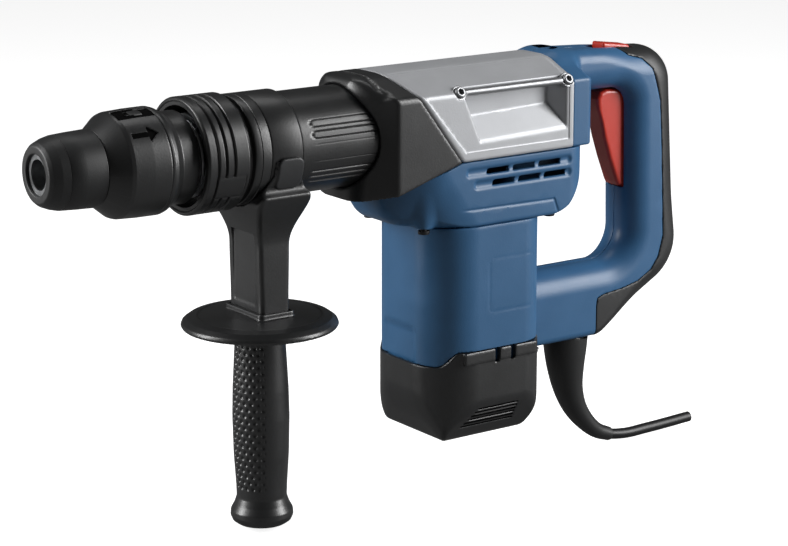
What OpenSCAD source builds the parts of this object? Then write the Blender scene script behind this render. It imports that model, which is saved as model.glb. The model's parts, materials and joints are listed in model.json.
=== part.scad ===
// Light electric demolition hammer with a D-handle and a swivelling side handle.
// The striking axis is the X axis: the tool points to -X, the D-handle is at +X, and +Z is up.
// The origin is the mouth of the tool holder's bore.

/* [Nose] */
// Radius of the hole that guides the tool shank
tool_bore_r = 9.05; // [9.02:0.01:9.1]
// Length of the front guide wall of the shank hole
tool_guide_len = 38; // [36:1:38]
// Length of the rubber dust cap behind the mouth
dust_cap_len = 33; // [32:0.5:33]
// Radius of the dust cap at its rear edge
dust_cap_r = 22.9; // [22:0.1:23]
// Largest radius of the locking sleeve
sleeve_r = 32; // [31.5:0.1:32.5]
// Radius of the ribbed adjusting ring
ring_r = 35.3; // [34.8:0.1:35.8]
// Radius of the steel tool holder
holder_r = 20; // [19.9:0.05:20]

/* [Barrel] */
// Outer radius of the barrel
barrel_r = 31.5; // [31:0.1:32]
// Radius of the seat that carries the side handle
seat_r = 29; // [28.8:0.1:29]
// Rear end of the barrel, measured from the mouth
barrel_end = 222; // [220:1:222]

/* [Hammer mechanism] */
// Outer radius of the hammer tube
tube_r = 21; // [20.8:0.1:21]
// Radius of the piston and the striker
piston_r = 17; // [16.8:0.1:17]
// Crank throw, half of the piston stroke
crank_throw = 8; // [7:0.5:8]
// Length of the connecting rod between its two pivots
rod_len = 54; // [53:0.5:54]

/* [Gears] */
// Gear module
gear_module = 1.25; // [1.25:0.05:1.25]
// Teeth of the motor pinion
pinion_teeth = 10; // [10:1:10]
// Teeth of the crank gear
gear_teeth = 50; // [50:1:50]

/* [Body] */
// Half of the width of the body
body_half_w = 42; // [41.5:0.5:43]
// Height of the top of the cover above the striking axis
top_z = 38; // [37:0.5:39]
// Height of the lower edge of the cover
cover_low_z = -18; // [-19:0.5:-17]
// Height of the underside of the shroud
shroud_low_z = -60; // [-62:1:-60]
// Height of the joint between motor housing and end cap
cap_joint_z = -140; // [-142:1:-139]
// Height of the flat bottom of the end cap
cap_bottom_z = -200; // [-202:1:-198]
// Half of the length of the motor housing, fore and aft
motor_half_l = 43; // [42.5:0.5:44]

/* [Handles] */
// Half of the width of the D-handle
grip_half_w = 19; // [18.5:0.5:20]
// Distance of the side handle's axis behind the mouth
post_x = 147; // [146.5:0.5:147]
// Radius of the hand guard
guard_r = 48; // [46:1:50]
// Lowest point of the side grip
side_grip_low_z = -236; // [-240:1:-234]

/* [Cable] */
// Radius of the power cable
cable_r = 3.6; // [3.5:0.1:3.7]
// Rear end of the modelled piece of cable
cable_end_x = 500; // [480:1:520]

/* [Hidden] */

round_fn = 96;
arc_steps = 7;
run_gap = 0.05;   // running clearance on a radius
seat_gap = 0.05;  // gap between parts that are fixed together
through = 1;      // how far a cutter runs past a face
wall = 3;         // wall of the plastic shells

crank_x = 260.5;
centre_distance = gear_module * (gear_teeth + pinion_teeth) / 2;
motor_x = crank_x + centre_distance;
motor_mid_x = 296;

// ---------- shared shapes ----------

// Turns a solid made along Z so that it lies along X
module along_x() { rotate([0, 90, 0]) children(); }

// Solid of revolution about X from [radius, x] points
module turned(profile) { along_x() rotate_extrude($fn = round_fn) polygon(profile); }

module rod_x(x0, x1, r) { translate([x0, 0, 0]) along_x() cylinder(h = x1 - x0, r = r, $fn = round_fn); }

module rod_z(z0, z1, r) { translate([0, 0, z0]) cylinder(h = z1 - z0, r = r, $fn = round_fn); }

module rod_y(y0, y1, r) { translate([0, y1, 0]) rotate([90, 0, 0]) cylinder(h = y1 - y0, r = r,
    $fn = round_fn); }

module tube_x(x0, x1, r_out, r_in) {
    difference() {
        rod_x(x0, x1, r_out);
        rod_x(x0 - through, x1 + through, r_in);
    }
}

// Box given by its two opposite corners
module box(low, high) { translate(low) cube(high - low); }

// Extrudes a shape drawn in the XZ plane from y0 to y1
module side_plate(y0, y1) { translate([0, y1, 0]) rotate([90, 0, 0]) linear_extrude(y1 - y0) children(); }

// Extrudes a shape drawn in the YZ plane from x0 to x1
module cross_plate(x0, x1) {
    translate([x0, 0, 0]) rotate([90, 0, 90]) linear_extrude(x1 - x0) children();
}

// Both sides of the body
module both_sides() {
    children();
    mirror([0, 1, 0]) children();
}

// Direction of the outward normal of the line that touches two circles [x, y, r], walking anticlockwise
function touch_angle(a, b) =
    atan2(b[1] - a[1], b[0] - a[0]) - acos((a[2] - b[2]) / norm([b[0] - a[0], b[1] - a[1]]));

function positive_turn(a) = ((a % 360) + 360) % 360;

// Outline of a taut belt round a list of circles, moved in by the distance inset
function belt(circles, inset) = [
    for (i = [0:len(circles) - 1])
        let (count = len(circles),
             c = circles[i],
             a0 = touch_angle(circles[(i + count - 1) % count], c),
             turn = positive_turn(touch_angle(c, circles[(i + 1) % count]) - a0))
            for (k = [0:arc_steps])
                let (a = a0 + turn * k / arc_steps)
                    [c[0] + (c[2] - inset) * cos(a), c[1] + (c[2] - inset) * sin(a)]
];

// Corner circles of a rectangle about [x, 0] with half sizes hx and hy
function corners(x, hx, hy, r) =
    [[x + hx - r, r - hy, r], [x + hx - r, hy - r, r], [x - hx + r, hy - r, r], [x - hx + r, r - hy, r]];

// Coil spring along Z from z = 0
module coil(mean_r, wire_r, turns, length) {
    steps = 20;
    sides = 8;
    last = turns * steps;
    points = [
        for (i = [0:last])
            for (k = [0:sides - 1])
                let (a = 360 * i / steps, b = 360 * k / sides, r = mean_r + wire_r * cos(b))
                    [r * cos(a), r * sin(a), wire_r + (length - 2 * wire_r) * i / last + wire_r * sin(b)]
    ];
    skin = [
        for (i = [0:last - 1])
            for (k = [0:sides - 1])
                [(i + 1) * sides + k, (i + 1) * sides + (k + 1) % sides,
                 i * sides + (k + 1) % sides, i * sides + k]
    ];
    first_end = [for (k = [0:sides - 1]) k];
    last_end = [for (k = [sides - 1:-1:0]) last * sides + k];
    polyhedron(points, concat([first_end], skin, [last_end]));
}

// ---------- tool holder group ----------

relief_end = 56;       // rear end of the relief that houses the rollers
shank_hole_end = 88;
bolt_bore_r = 12;
holder_end = 126.6;
holder_neck_r = 14.5;
holder_front = 34;     // where the holder grows to its full radius
roller_x0 = 40;
roller_x1 = 54;
roller_r = 3.5;
roller_lock_y = 9.7;   // roller axis when it holds the shank

module tool_holder() {
    color("lightsteelblue") difference() {
        turned([
            [tool_bore_r, 0], [tool_bore_r, tool_guide_len], [tool_bore_r + 0.55, tool_guide_len],
            [tool_bore_r + 0.55, relief_end], [tool_bore_r, relief_end], [tool_bore_r, shank_hole_end],
            [bolt_bore_r, shank_hole_end], [bolt_bore_r, holder_end], [21.9, holder_end], [21.9, 124.2],
            [holder_r, 124.2], [holder_r, holder_front], [holder_neck_r, holder_front], [holder_neck_r, 0]
        ]);
        box([roller_x0 - 0.2, -holder_r - through, -roller_r - 0.05],
            [roller_x1 + 0.2, holder_r + through, roller_r + 0.05]);
    }
}

module dust_cap() {
    color("#1d1f20") turned([
        [12, -2], [16.4, -2], [18, -1], [19.3, 2], [20.4, 5], [21.6, 10], [22.4, 20],
        [dust_cap_r, dust_cap_len], [holder_neck_r + seat_gap, dust_cap_len],
        [holder_neck_r + seat_gap, -0.1], [12, -0.1]
    ]);
}

sleeve_front = 33.4;
neck_r = 27.7;
neck_end = 90;
spring_room_r = 25.4;
spring_room_front = 61;

module locking_sleeve() {
    color("#17191a") turned([
        [22.6, sleeve_front], [30.6, 43.6], [31.1, 45], [sleeve_r - 0.1, 58], [sleeve_r, 71],
        [sleeve_r - 0.6, 73.5], [29.6, 76], [neck_r, 79], [neck_r, neck_end], [spring_room_r, neck_end],
        [spring_room_r, spring_room_front], [holder_r + run_gap, spring_room_front],
        [holder_r + run_gap, sleeve_front]
    ]);
}

module roller(side) {
    color("silver") translate([0, side * roller_lock_y, 0]) rod_x(roller_x0, roller_x1, roller_r);
}
module roller_left() { roller(-1); }
module roller_right() { roller(1); }

seat_x0 = 97;
seat_x1 = 100;

module spring_seat() { color("silver") tube_x(seat_x0, seat_x1, 25, holder_r + seat_gap); }

module sleeve_spring() {
    gap = 0.3;
    length = seat_x0 - spring_room_front - 2 * gap;
    color("gray") translate([spring_room_front + gap, 0, 0]) along_x() coil(22.8, 1, 7, length);
}

ring_front = 91.5;
ring_rear = 120;
ring_web = 112;
ring_bore_r = 30;
nose_tube_r = 25;
groove_depth = 1.7;
groove_w = 1.7;
groove_at = [98.2, 103.6, 109.4];

module adjusting_ring() {
    color("#17191a") difference() {
        turned([
            [ring_bore_r, ring_front], [ring_r - 1, ring_front], [ring_r, ring_front + 1],
            [ring_r, ring_rear - 1], [ring_r - 0.8, ring_rear], [nose_tube_r + run_gap, ring_rear],
            [nose_tube_r + run_gap, ring_web], [ring_bore_r, ring_web]
        ]);
        for (x = groove_at) tube_x(x - groove_w / 2, x + groove_w / 2, ring_r + through,
            ring_r - groove_depth);
    }
}

// ---------- barrel and hammer mechanism ----------

nose_tube_front = 104;
shoulder_x = 120.6;
seat_front = 124.5;
seat_rear = 158;
bush_bore_r = 22;
tube_front = 127;
tube_rear = 236;
tube_bore_r = piston_r + run_gap;

module barrel() {
    color("#222425") turned([
        [bush_bore_r, nose_tube_front], [bush_bore_r, 130], [tube_r + seat_gap, 130],
            [tube_r + seat_gap, 140],
        [27, 142], [27, 203], [tube_r + seat_gap, 205], [tube_r + seat_gap, barrel_end],
        [barrel_r, barrel_end], [barrel_r, seat_rear], [seat_r, seat_rear], [seat_r, seat_front],
        [31, seat_front], [31, shoulder_x], [nose_tube_r, shoulder_x], [nose_tube_r, nose_tube_front]
    ]);
}

module front_band() { color("#1b1d1e") tube_x(seat_front + seat_gap, 135.7, 33.6, seat_r + seat_gap); }

module front_bush() { color("darkgoldenrod") tube_x(106, 124, bush_bore_r - seat_gap, holder_r + run_gap); }

module hammer_tube() { color("slategray") tube_x(tube_front, tube_rear, tube_r, tube_bore_r); }

module impact_bolt() {
    shank_r = tool_bore_r - run_gap;
    head_r = bolt_bore_r - run_gap;
    color("dimgray") turned([
        [0, 78], [shank_r - 1, 78], [shank_r, 79], [shank_r, 92.5], [head_r, 93.5],
        [head_r, 109], [head_r - 1, 110], [0, 110]
    ]);
}

striker_front = 134;
striker_rear = 156;

module striker() {
    color("dimgray") turned([
        [0, 122], [8, 122], [9, 123], [9, striker_front], [piston_r, striker_front],
        [piston_r, 139], [piston_r - 1.6, 139], [piston_r - 1.6, 142], [piston_r, 142],
        [piston_r, striker_rear], [0, striker_rear]
    ]);
}

piston_front = 184;
piston_rear = 232;
crown = 8;
cup_r = 13;

module piston() {
    color("lightslategray") turned([
        [0, piston_front], [piston_r, piston_front], [piston_r, piston_front + 3],
        [piston_r - 1.6, piston_front + 3], [piston_r - 1.6, piston_front + 6], [piston_r, piston_front + 6],
        [piston_r, piston_rear], [cup_r, piston_rear], [cup_r, piston_front + crown],
        [0, piston_front + crown]
    ]);
}

crank_pin_x = crank_x + crank_throw;
crank_pin_r = 4;
small_end_x = crank_pin_x - rod_len;
small_end_r = 4;
wrist_pin_r = 2;
big_end_r = 8;
rod_half_t = 3;

module connecting_rod() {
    color("silver") difference() {
        union() {
            translate([crank_pin_x, 0, 0]) rod_z(-rod_half_t - 1, rod_half_t + 1, big_end_r);
            translate([small_end_x, 0, 0]) rod_z(-rod_half_t, rod_half_t, small_end_r);
            box([small_end_x, -rod_half_t, -rod_half_t], [crank_pin_x, rod_half_t, rod_half_t]);
        }
        translate([crank_pin_x, 0, 0]) rod_z(-big_end_r, big_end_r, crank_pin_r + run_gap);
        translate([small_end_x, 0, 0]) rod_z(-big_end_r, big_end_r, wrist_pin_r + 0.02);
    }
}

module wrist_pin() { color("gray") translate([small_end_x, 0, 0]) rod_z(-6.4, 6.4, wrist_pin_r); }

disc_r = 17;
disc_top = -9;
disc_low = -17;
journal_r = 7;
tail_r = 6;
gear_top = -28;
gear_low = -37;
upper_seat_r = 13;
lower_seat_r = 12;

module crankshaft() {
    color("slategray") translate([crank_x, 0, 0]) {
        rod_z(disc_low, disc_top, disc_r);
        rod_z(-38, disc_low, journal_r);
        rod_z(-49, -38, tail_r);
        translate([crank_throw, 0, 0]) rod_z(disc_top, 6, crank_pin_r);
    }
}

// Involute gear blank in the XY plane, with a tooth centred on +X
pressure_angle = 25;
addendum = 0.8 * gear_module;
dedendum = 1.1 * gear_module;
backlash = 0.14;
function involute(t) = tan(t) * 180 / PI - t;
module gear_2d(teeth) {
    pitch_r = gear_module * teeth / 2;
    base_r = pitch_r * cos(pressure_angle);
    tip_r = pitch_r + addendum;
    root_r = pitch_r - dedendum;
    half_tooth = 90 / teeth - backlash / 2 / pitch_r * 180 / PI;
    flank_r = max(base_r, root_r);
    flank_steps = 5;
    flank = [
        for (i = [0:flank_steps])
            let (r = flank_r + (tip_r - flank_r) * i / flank_steps)
                [r, half_tooth + involute(pressure_angle) - involute(acos(base_r / r))]
    ];
    polygon([
        for (k = [0:teeth - 1])
            let (a = 360 * k / teeth)
                for (p = concat([[root_r, -flank[0][1] - 0.5]],
                                [for (f = flank) [f[0], -f[1]]],
                                [for (i = [flank_steps:-1:0]) flank[i]],
                                [[root_r, flank[0][1] + 0.5]]))
                    [p[0] * cos(a + p[1]), p[0] * sin(a + p[1])]
    ]);
}

module crank_gear() {
    color("silver") translate([crank_x, 0, 0]) difference() {
        translate([0, 0, gear_low]) linear_extrude(gear_top - gear_low) gear_2d(gear_teeth);
        rod_z(gear_low - through, gear_top + through, journal_r + 0.02);
        for (a = [0:60:300]) rotate(a + 30) translate([19, 0, 0]) rod_z(gear_low - through,
            gear_top + through, 5);
    }
}

// Ball bearing as one ring with the gap between its races on both faces
module bearing(z0, z1, r_in, r_out) {
    race = (r_out - r_in) * 0.3;
    rotate_extrude($fn = round_fn) polygon([
        [r_in, z0], [r_in + race, z0], [r_in + race, z0 + 1], [r_out - race, z0 + 1], [r_out - race, z0],
        [r_out, z0], [r_out, z1], [r_out - race, z1], [r_out - race, z1 - 1], [r_in + race, z1 - 1],
        [r_in + race, z1], [r_in, z1]
    ]);
}

module crank_bearings() {
    color("silver") translate([crank_x, 0, 0]) {
        bearing(-26, -18, journal_r + run_gap, upper_seat_r - seat_gap);
        bearing(-48, -39, tail_r + run_gap, lower_seat_r - seat_gap);
    }
}

// ---------- body ----------

nose_plan = corners(290, 84, body_half_w, 20);      // plan of the black housing and the cover
shroud_plan = [[354, 18 - body_half_w, 18], [354, body_half_w - 18, 18],
               [256, body_half_w - 34, 34], [256, 34 - body_half_w, 34]];
bevel_y = 14;
bevel_low_z = 26;
seam_top_x = 227;      // slanted seam between housing and cover
seam_low_x = 269;
cover_rear = 357;
shroud_front = 222;
shroud_rear = 372;
chin_z = -33;

// Cross-section of the cover and the black housing, moved in by inset
module body_section(inset) {
    polygon([
        [-body_half_w + inset, -80], [-body_half_w + inset, bevel_low_z - 0.6 * inset],
        [-bevel_y + 0.2 * inset, top_z - inset], [bevel_y - 0.2 * inset, top_z - inset],
        [body_half_w - inset, bevel_low_z - 0.6 * inset], [body_half_w - inset, -80]
    ]);
}

module body_blank(inset) {
    intersection() {
        cross_plate(190, 400) body_section(inset);
        translate([0, 0, -80]) linear_extrude(160) polygon(belt(nose_plan, inset));
    }
}

// Side view of the black housing: in front of the slanted seam and above the shroud
module housing_side() {
    polygon([[200, 60], [seam_top_x - 16.3, 60], [seam_top_x, top_z], [seam_low_x, cover_low_z],
             [shroud_front, chin_z], [200, chin_z - 7]]);
}

case_r = 35.3;
motor_boss_r = 17;
case_top = -18;
case_low = -50;
gear_room_top = -27;
gear_room_low = -38;

module gear_housing() {
    color("#26282a") difference() {
        union() {
            difference() {
                intersection() {
                    body_blank(0);
                    side_plate(-60, 60) housing_side();
                }
                intersection() {
                    body_blank(4);
                    side_plate(-60, 60) polygon([[222.5, 60], [233, 60], [262, cover_low_z + 5],
                                                 [262, cover_low_z], [226, cover_low_z - 9], [222.5, -26]]);
                }
            }
            rod_x(214, tube_rear, 25);
            box([234, -23, -22], [285, 23, 19]);
            translate([crank_x, 0, 0]) rod_z(case_low, case_top, case_r);
            translate([motor_x, 0, 0]) rod_z(case_low, case_top, motor_boss_r);
            box([crank_x, -motor_boss_r, case_low], [motor_x, motor_boss_r, case_top]);
        }
        rod_x(190, barrel_end, barrel_r + seat_gap);
        rod_x(190, tube_rear + through, tube_r + seat_gap);
        box([tube_rear + 0.5, -20, case_top + 0.4], [282, 20, 19 + through]);
        translate([crank_x, 0, 0]) {
            rod_z(-26, case_top + through, upper_seat_r);
            rod_z(gear_room_low, gear_room_top, 33.2);
            rod_z(gear_room_top - through, -25, 10);
            rod_z(case_low - through, -39, lower_seat_r);
            rod_z(-40, gear_room_low + through, 9);
        }
        translate([motor_x, 0, 0]) {
            rod_z(gear_room_low, gear_room_top, 8.6);
            rod_z(case_low - through, gear_room_low + through, 7.7);
            rod_z(case_low - through, -41, 11);
        }
        for (p = body_screw_at) translate([p[0], p[1], 0]) rod_z(case_low - through, -43,
            body_screw_r + run_gap);
    }
}

module crankcase_lid() {
    color("silver") union() {
        box([tube_rear + 0.2, -23, 19.1], [285, 23, 22]);
        box([238.2, -19.8, 17], [281.8, 19.8, 19.2]);
    }
}

pocket_depth = 12;
rod_z_mid = 25;
rod_front = 270;
rod_rear = 351;

// Side recess of the cover, drawn in the XZ plane
module pocket_side(grow) {
    polygon([[271 - grow, 23 + grow], [cover_rear - 5 + grow, 23 + grow],
             [cover_rear - 5 + grow, -5 - grow], [283.5 - grow, -7 - grow]]);
}

module cover_side() {
    polygon([[seam_top_x - 15.3, 60], [seam_top_x + 0.4, top_z], [seam_low_x + 0.4, cover_low_z],
             [cover_rear, cover_low_z], [cover_rear, 60]]);
}

module top_cover() {
    back_wall = body_half_w - pocket_depth;
    color("#c6c9cc") difference() {
        intersection() {
            body_blank(0);
            side_plate(-60, 60) cover_side();
        }
        difference() {
            intersection() {
                body_blank(2.5);
                side_plate(-60, 60) polygon([[232, 60], [236, top_z], [275.4, cover_low_z - through],
                                             [cover_rear - 2.5, cover_low_z - through],
                                                 [cover_rear - 2.5, 60]]);
            }
            both_sides() side_plate(back_wall - 2.5, body_half_w) pocket_side(2.5);
        }
        side_plate(-26, 26) polygon([[200, -30], [286, -30], [286, 22.3], [230, 22.3], [200, 34]]);
        both_sides() side_plate(back_wall, body_half_w + through) pocket_side(0);
        both_sides() box([rod_front + 1, rod_y_mid - rod_r - 0.2, rod_z_mid - rod_r - 0.2],
                         [rod_rear - 1, body_half_w + through, rod_z_mid + rod_r + 0.2]);
        both_sides() for (x = [rod_front - 2, rod_rear + 2]) at_rod_end(x) rod_z(-12, 18, boss_r + 0.1);
    }
}

rod_y_mid = 38.4;
rod_r = 2.3;
boss_r = 3.6;

// Places the screw of one end of a guard rod
module at_rod_end(x) { translate([x, rod_y_mid, rod_z_mid]) rotate([-60, 0, 0]) children(); }

// A bright guard rod lies over the recess on each side
module guard_rods() {
    color("#d8dadc") both_sides() translate([0, rod_y_mid, rod_z_mid]) rod_x(rod_front + 2,
        rod_rear - 2, rod_r);
}

// Socket screws that hold the rod's two ends
module cover_screws() {
    color("gainsboro") both_sides() for (x = [rod_front - 2, rod_rear + 2]) at_rod_end(x) difference() {
        rod_z(-10, 3, boss_r);
        translate([0, 0, 1]) cylinder(h = 3, r = 1.8, $fn = 6);
    }
}

slot_rows = [[289, -25], [293, -32]];
slot_len = 17;
slot_pitch = 20.5;
slot_h = 3.4;

module shroud_side(inset) {
    polygon([
        [shroud_front + inset, chin_z - 0.4 + (inset > 0 ? 40 : 0)],
        [shroud_front + inset, chin_z - 10], [shroud_front + 10 + inset, shroud_low_z + 3 + inset],
        [shroud_front + 24 + inset, shroud_low_z + inset], [350 - inset, shroud_low_z + inset],
        [366 - inset, -46 + inset], [shroud_rear - inset, -32], [shroud_rear - inset,
            cover_low_z - 0.4 + 40 * inset],
        [seam_low_x + 0.2, cover_low_z - 0.4 + (inset > 0 ? 40 : 0)]
    ]);
}

// Plan of the motor housing: the front corners are rounder than the rear ones
motor_plan = [
    [motor_mid_x + motor_half_l - 20, 20 - body_half_w, 20], [motor_mid_x + motor_half_l - 20,
        body_half_w - 20, 20],
    [motor_mid_x - motor_half_l + 30, body_half_w - 30, 30], [motor_mid_x - motor_half_l + 30,
        30 - body_half_w, 30]
];

module body_shroud() {
    color("#2f5f8f") difference() {
        intersection() {
            translate([0, 0, -80]) linear_extrude(80) polygon(belt(shroud_plan, 0));
            side_plate(-60, 60) shroud_side(0);
        }
        intersection() {
            translate([0, 0, -80]) linear_extrude(100) polygon(belt(shroud_plan, wall));
            side_plate(-60, 60) shroud_side(wall);
        }
        translate([0, 0,
            shroud_low_z - through]) linear_extrude(wall + 2 * through) polygon(belt(motor_plan, 8));
        translate([crank_x, 0, 0]) rod_z(case_low - seat_gap, case_top + through, case_r + seat_gap);
        for (side = [-1, 1]) for (row = slot_rows) for (k = [0:2])
            box([row[0] + k * slot_pitch, side > 0 ? body_half_w - 6 : -body_half_w - through,
                row[1] - slot_h / 2],
                [row[0] + k * slot_pitch + slot_len, side > 0 ? body_half_w + through : 6 - body_half_w,
                 row[1] + slot_h / 2]);
        for (p = body_screw_at) translate([p[0], p[1], 0])
            rod_z(shroud_low_z - through, -40, body_screw_r + run_gap);
    }
}

body_screw_at = [[249, -29], [249, 29], [345, -33], [345, 33]];
body_screw_r = 2;

// Screws that close the body from below
module body_screws() {
    color("silver") for (p = body_screw_at) translate([p[0], p[1], 0]) {
        rod_z(shroud_low_z - 2.4, shroud_low_z - 0.05, 3.8);
        rod_z(shroud_low_z - 0.1, -44, body_screw_r);
    }
}

skirt_inset = 2.4;
skirt_low = -182;
bearing_r = 11;
shaft_r = 4;

module motor_housing() {
    color("#2f5f8f") difference() {
        union() {
            translate([0, 0, cap_joint_z]) linear_extrude(shroud_low_z - 0.05 - cap_joint_z)
                polygon(belt(motor_plan, 0));
            translate([0, 0, skirt_low]) linear_extrude(cap_joint_z - skirt_low + through)
                polygon(belt(motor_plan, skirt_inset + 0.1));
        }
        translate([0, 0, cap_joint_z + wall]) linear_extrude(100) polygon(belt(motor_plan, wall));
        difference() {
            translate([0, 0, skirt_low + wall]) linear_extrude(cap_joint_z - skirt_low + through)
                polygon(belt(motor_plan, skirt_inset + wall));
            translate([motor_x, 0, 0]) rod_z(skirt_low, -168, bearing_r + wall);
        }
        translate([motor_x, 0, 0]) rod_z(-178, -160, bearing_r);
        translate([motor_x, 0, 0]) rod_z(skirt_low - through, -160, 6);
        for (a = [0:60:300]) translate([motor_x, 0, 0]) rotate(a) translate([24, 0, 0])
            rod_z(skirt_low - through, skirt_low + wall + through, 4);
    }
}

vent_z = [for (k = [0:4]) -177 - 2.9 * k];

module end_cap() {
    color("#1c1e1f") difference() {
        union() {
            translate([0, 0, cap_bottom_z]) linear_extrude(cap_joint_z - 0.1 - cap_bottom_z)
                polygon(belt(motor_plan, -1));
            side_plate(-17, 17) polygon([[338, -154.4], [353, -154.4], [351, -161], [340, -176], [338,
                -176]]);
        }
        translate([0, 0, skirt_low - 0.2]) linear_extrude(60) polygon(belt(motor_plan, skirt_inset));
        translate([0, 0, cap_bottom_z + 4]) linear_extrude(20) polygon(belt(motor_plan, 18));
        for (side = [-1, 1]) {
            translate([motor_mid_x + side * (motor_half_l + 1), 0, -180]) rotate([0, side * 30, 0])
                box([side > 0 ? 0 : -40, -60, -60], [side > 0 ? 40 : 0, 60, 30]);
            translate([0, side * (body_half_w + 1), -182]) rotate([side * -28, 0, 0])
                box([200, side > 0 ? 0 : -40, -60], [400, side > 0 ? 40 : 0, 30]);
        }
        both_sides() for (z = vent_z) box([284, body_half_w - 20, z - 0.8], [315, body_half_w + 2, z + 0.8]);
    }
}

// ---------- motor ----------

module on_motor() { translate([motor_x, 0, 0]) children(); }

module armature_shaft() {
    pinion_top = -28.2;
    pinion_low = -37.5;
    color("silver") on_motor() union() {
        rod_z(-179, pinion_low + 0.2, shaft_r);
        translate([0, 0, pinion_low]) linear_extrude(pinion_top - pinion_low)
            rotate(180 / pinion_teeth) gear_2d(pinion_teeth);
    }
}

core_low = -135;
core_top = -85;

module armature_core() {
    color("#8a5a2b") on_motor() difference() {
        union() {
            rod_z(core_low, core_top, 22.5);
            rod_z(core_top, core_top + 8, 18);
            rod_z(core_low - 8, core_low, 18);
        }
        rod_z(core_low - 10, core_top + 10, shaft_r + 0.02);
        for (k = [0:11]) rotate(30 * k) box([20.5, -1, core_low - through], [24, 1, core_top + through]);
    }
}

commutator_r = 12;

module commutator() {
    color("#b87333") on_motor() difference() {
        rod_z(-160, -146, commutator_r);
        rod_z(-162, -140, shaft_r + 0.02);
        for (k = [0:23]) rotate(15 * k) box([commutator_r - 1, -0.25, -162], [commutator_r + 1, 0.25, -148]);
    }
}

module cooling_fan() {
    color("#2a2c2d") on_motor() difference() {
        union() {
            rod_z(-58, -56, 31);
            rod_z(-68, -56, 9);
            for (k = [0:13]) rotate(360 / 14 * k) box([8, -0.9, -67], [31, 0.9, -57]);
        }
        rod_z(-70, -50, shaft_r + 0.02);
    }
}

stator_r = 36.5;

module stator() {
    color("dimgray") on_motor() difference() {
        rod_z(-134, -86, stator_r);
        rod_z(-136, -84, 23.2);
        for (side = [-1, 1]) box([-9, side > 0 ? 20 : -30, -136], [9, side > 0 ? 30 : -20, -84]);
        for (side = [-1, 1]) box([side > 0 ? 34 : -40, -20, -136], [side > 0 ? 40 : -34, 20, -84]);
    }
}

module field_coils() {
    color("#b87333") on_motor() for (z = [-142, -85.8]) for (a = [-60, 120])
        translate([0, 0, z]) rotate(a) rotate_extrude(angle = 120, $fn = round_fn) translate([24,
            0]) square([9, 7.8]);
}

module air_baffle() {
    color("#3a3d40") difference() {
        translate([0, 0, -74]) linear_extrude(2.5) polygon(belt(motor_plan, wall + 0.1));
        on_motor() rod_z(-80, -60, 26);
    }
}

module motor_bearings() {
    color("silver") on_motor() {
        bearing(-49, -41, shaft_r + run_gap, bearing_r - seat_gap);
        bearing(-177.9, -170, shaft_r + run_gap, bearing_r - seat_gap);
    }
}

brush_z = -153;
brush_half = 4;
holder_y0 = 14;
holder_y1 = 33;

module brush_holders() {
    color("#c9a227") on_motor() both_sides() difference() {
        box([-brush_half - 1.6, holder_y0, brush_z - brush_half - 1.6],
            [brush_half + 1.6, holder_y1, brush_z + brush_half + 1.6]);
        box([-brush_half - 0.1, holder_y0 - through, brush_z - brush_half - 0.1],
            [brush_half + 0.1, holder_y1 - 1, brush_z + brush_half + 0.1]);
    }
}

module carbon_brushes() {
    color("#333333") on_motor() both_sides()
        box([-brush_half, commutator_r + 0.05, brush_z - brush_half], [brush_half, 24, brush_z + brush_half]);
}

module brush_springs() {
    color("gray") on_motor() both_sides()
        translate([0, 24.2, brush_z]) rotate([-90, 0, 0]) coil(2.6, 0.4, 5, 7.5);
}

// ---------- D-handle ----------

handle_outer = [[348.6, -146, 8], [396, -132, 22], [438, -94, 35], [441, 10, 25], [365, 31, 8]];
handle_opening = [[384, -96, 10], [408, -86, 20], [414, 0, 12], [384, 2, 10]];
root_front = 357.5;
root_rear = 374;
arm_top = -106;
arm_front = 340.5;
rubber_t = 3.2;
rubber_band = 17;
core_half_w = grip_half_w - rubber_t;
room_half_w = core_half_w - wall;
root_half_w = 40;

module handle_2d(grow) {
    difference() {
        union() {
            polygon(belt(handle_outer, -grow));
            box2d([arm_front - grow, -140 - grow], [360, arm_top]);
        }
        polygon(belt(handle_opening, grow));
        box2d([300, arm_top + grow], [384, cover_low_z - 0.1 - grow]);
        box2d([300, cover_low_z - 0.2], [root_front - grow, 60]);
    }
}

module box2d(low, high) { translate(low) square(high - low); }

// Zone of the soft grip in side view
module rubber_2d(inset) {
    intersection() {
        difference() {
            polygon(belt(handle_outer, inset));
            polygon(belt(handle_outer, rubber_band));
        }
        polygon([[421, 60], [500, 60], [500, -180], [398, -180], [398, -115], [430, -100], [440, -60],
            [440, 10]]);
    }
}

module soft_grip() {
    color("#1f2122") difference() {
        side_plate(-grip_half_w, grip_half_w) rubber_2d(0);
        box([402, -slider_half_w - 0.4, 25], [434, slider_half_w + 0.4, 50]);
        side_plate(-core_half_w - seat_gap, core_half_w + seat_gap) polygon(belt(handle_outer,
            rubber_t - seat_gap));
    }
}

screw_at = [[366, 22], [449, 12], [452, -96], [398, -130], [358, -130]];
pin_x = 433;
pin_z = -60;
trigger_half_w = 7.6;
slider_half_w = 6;

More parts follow.
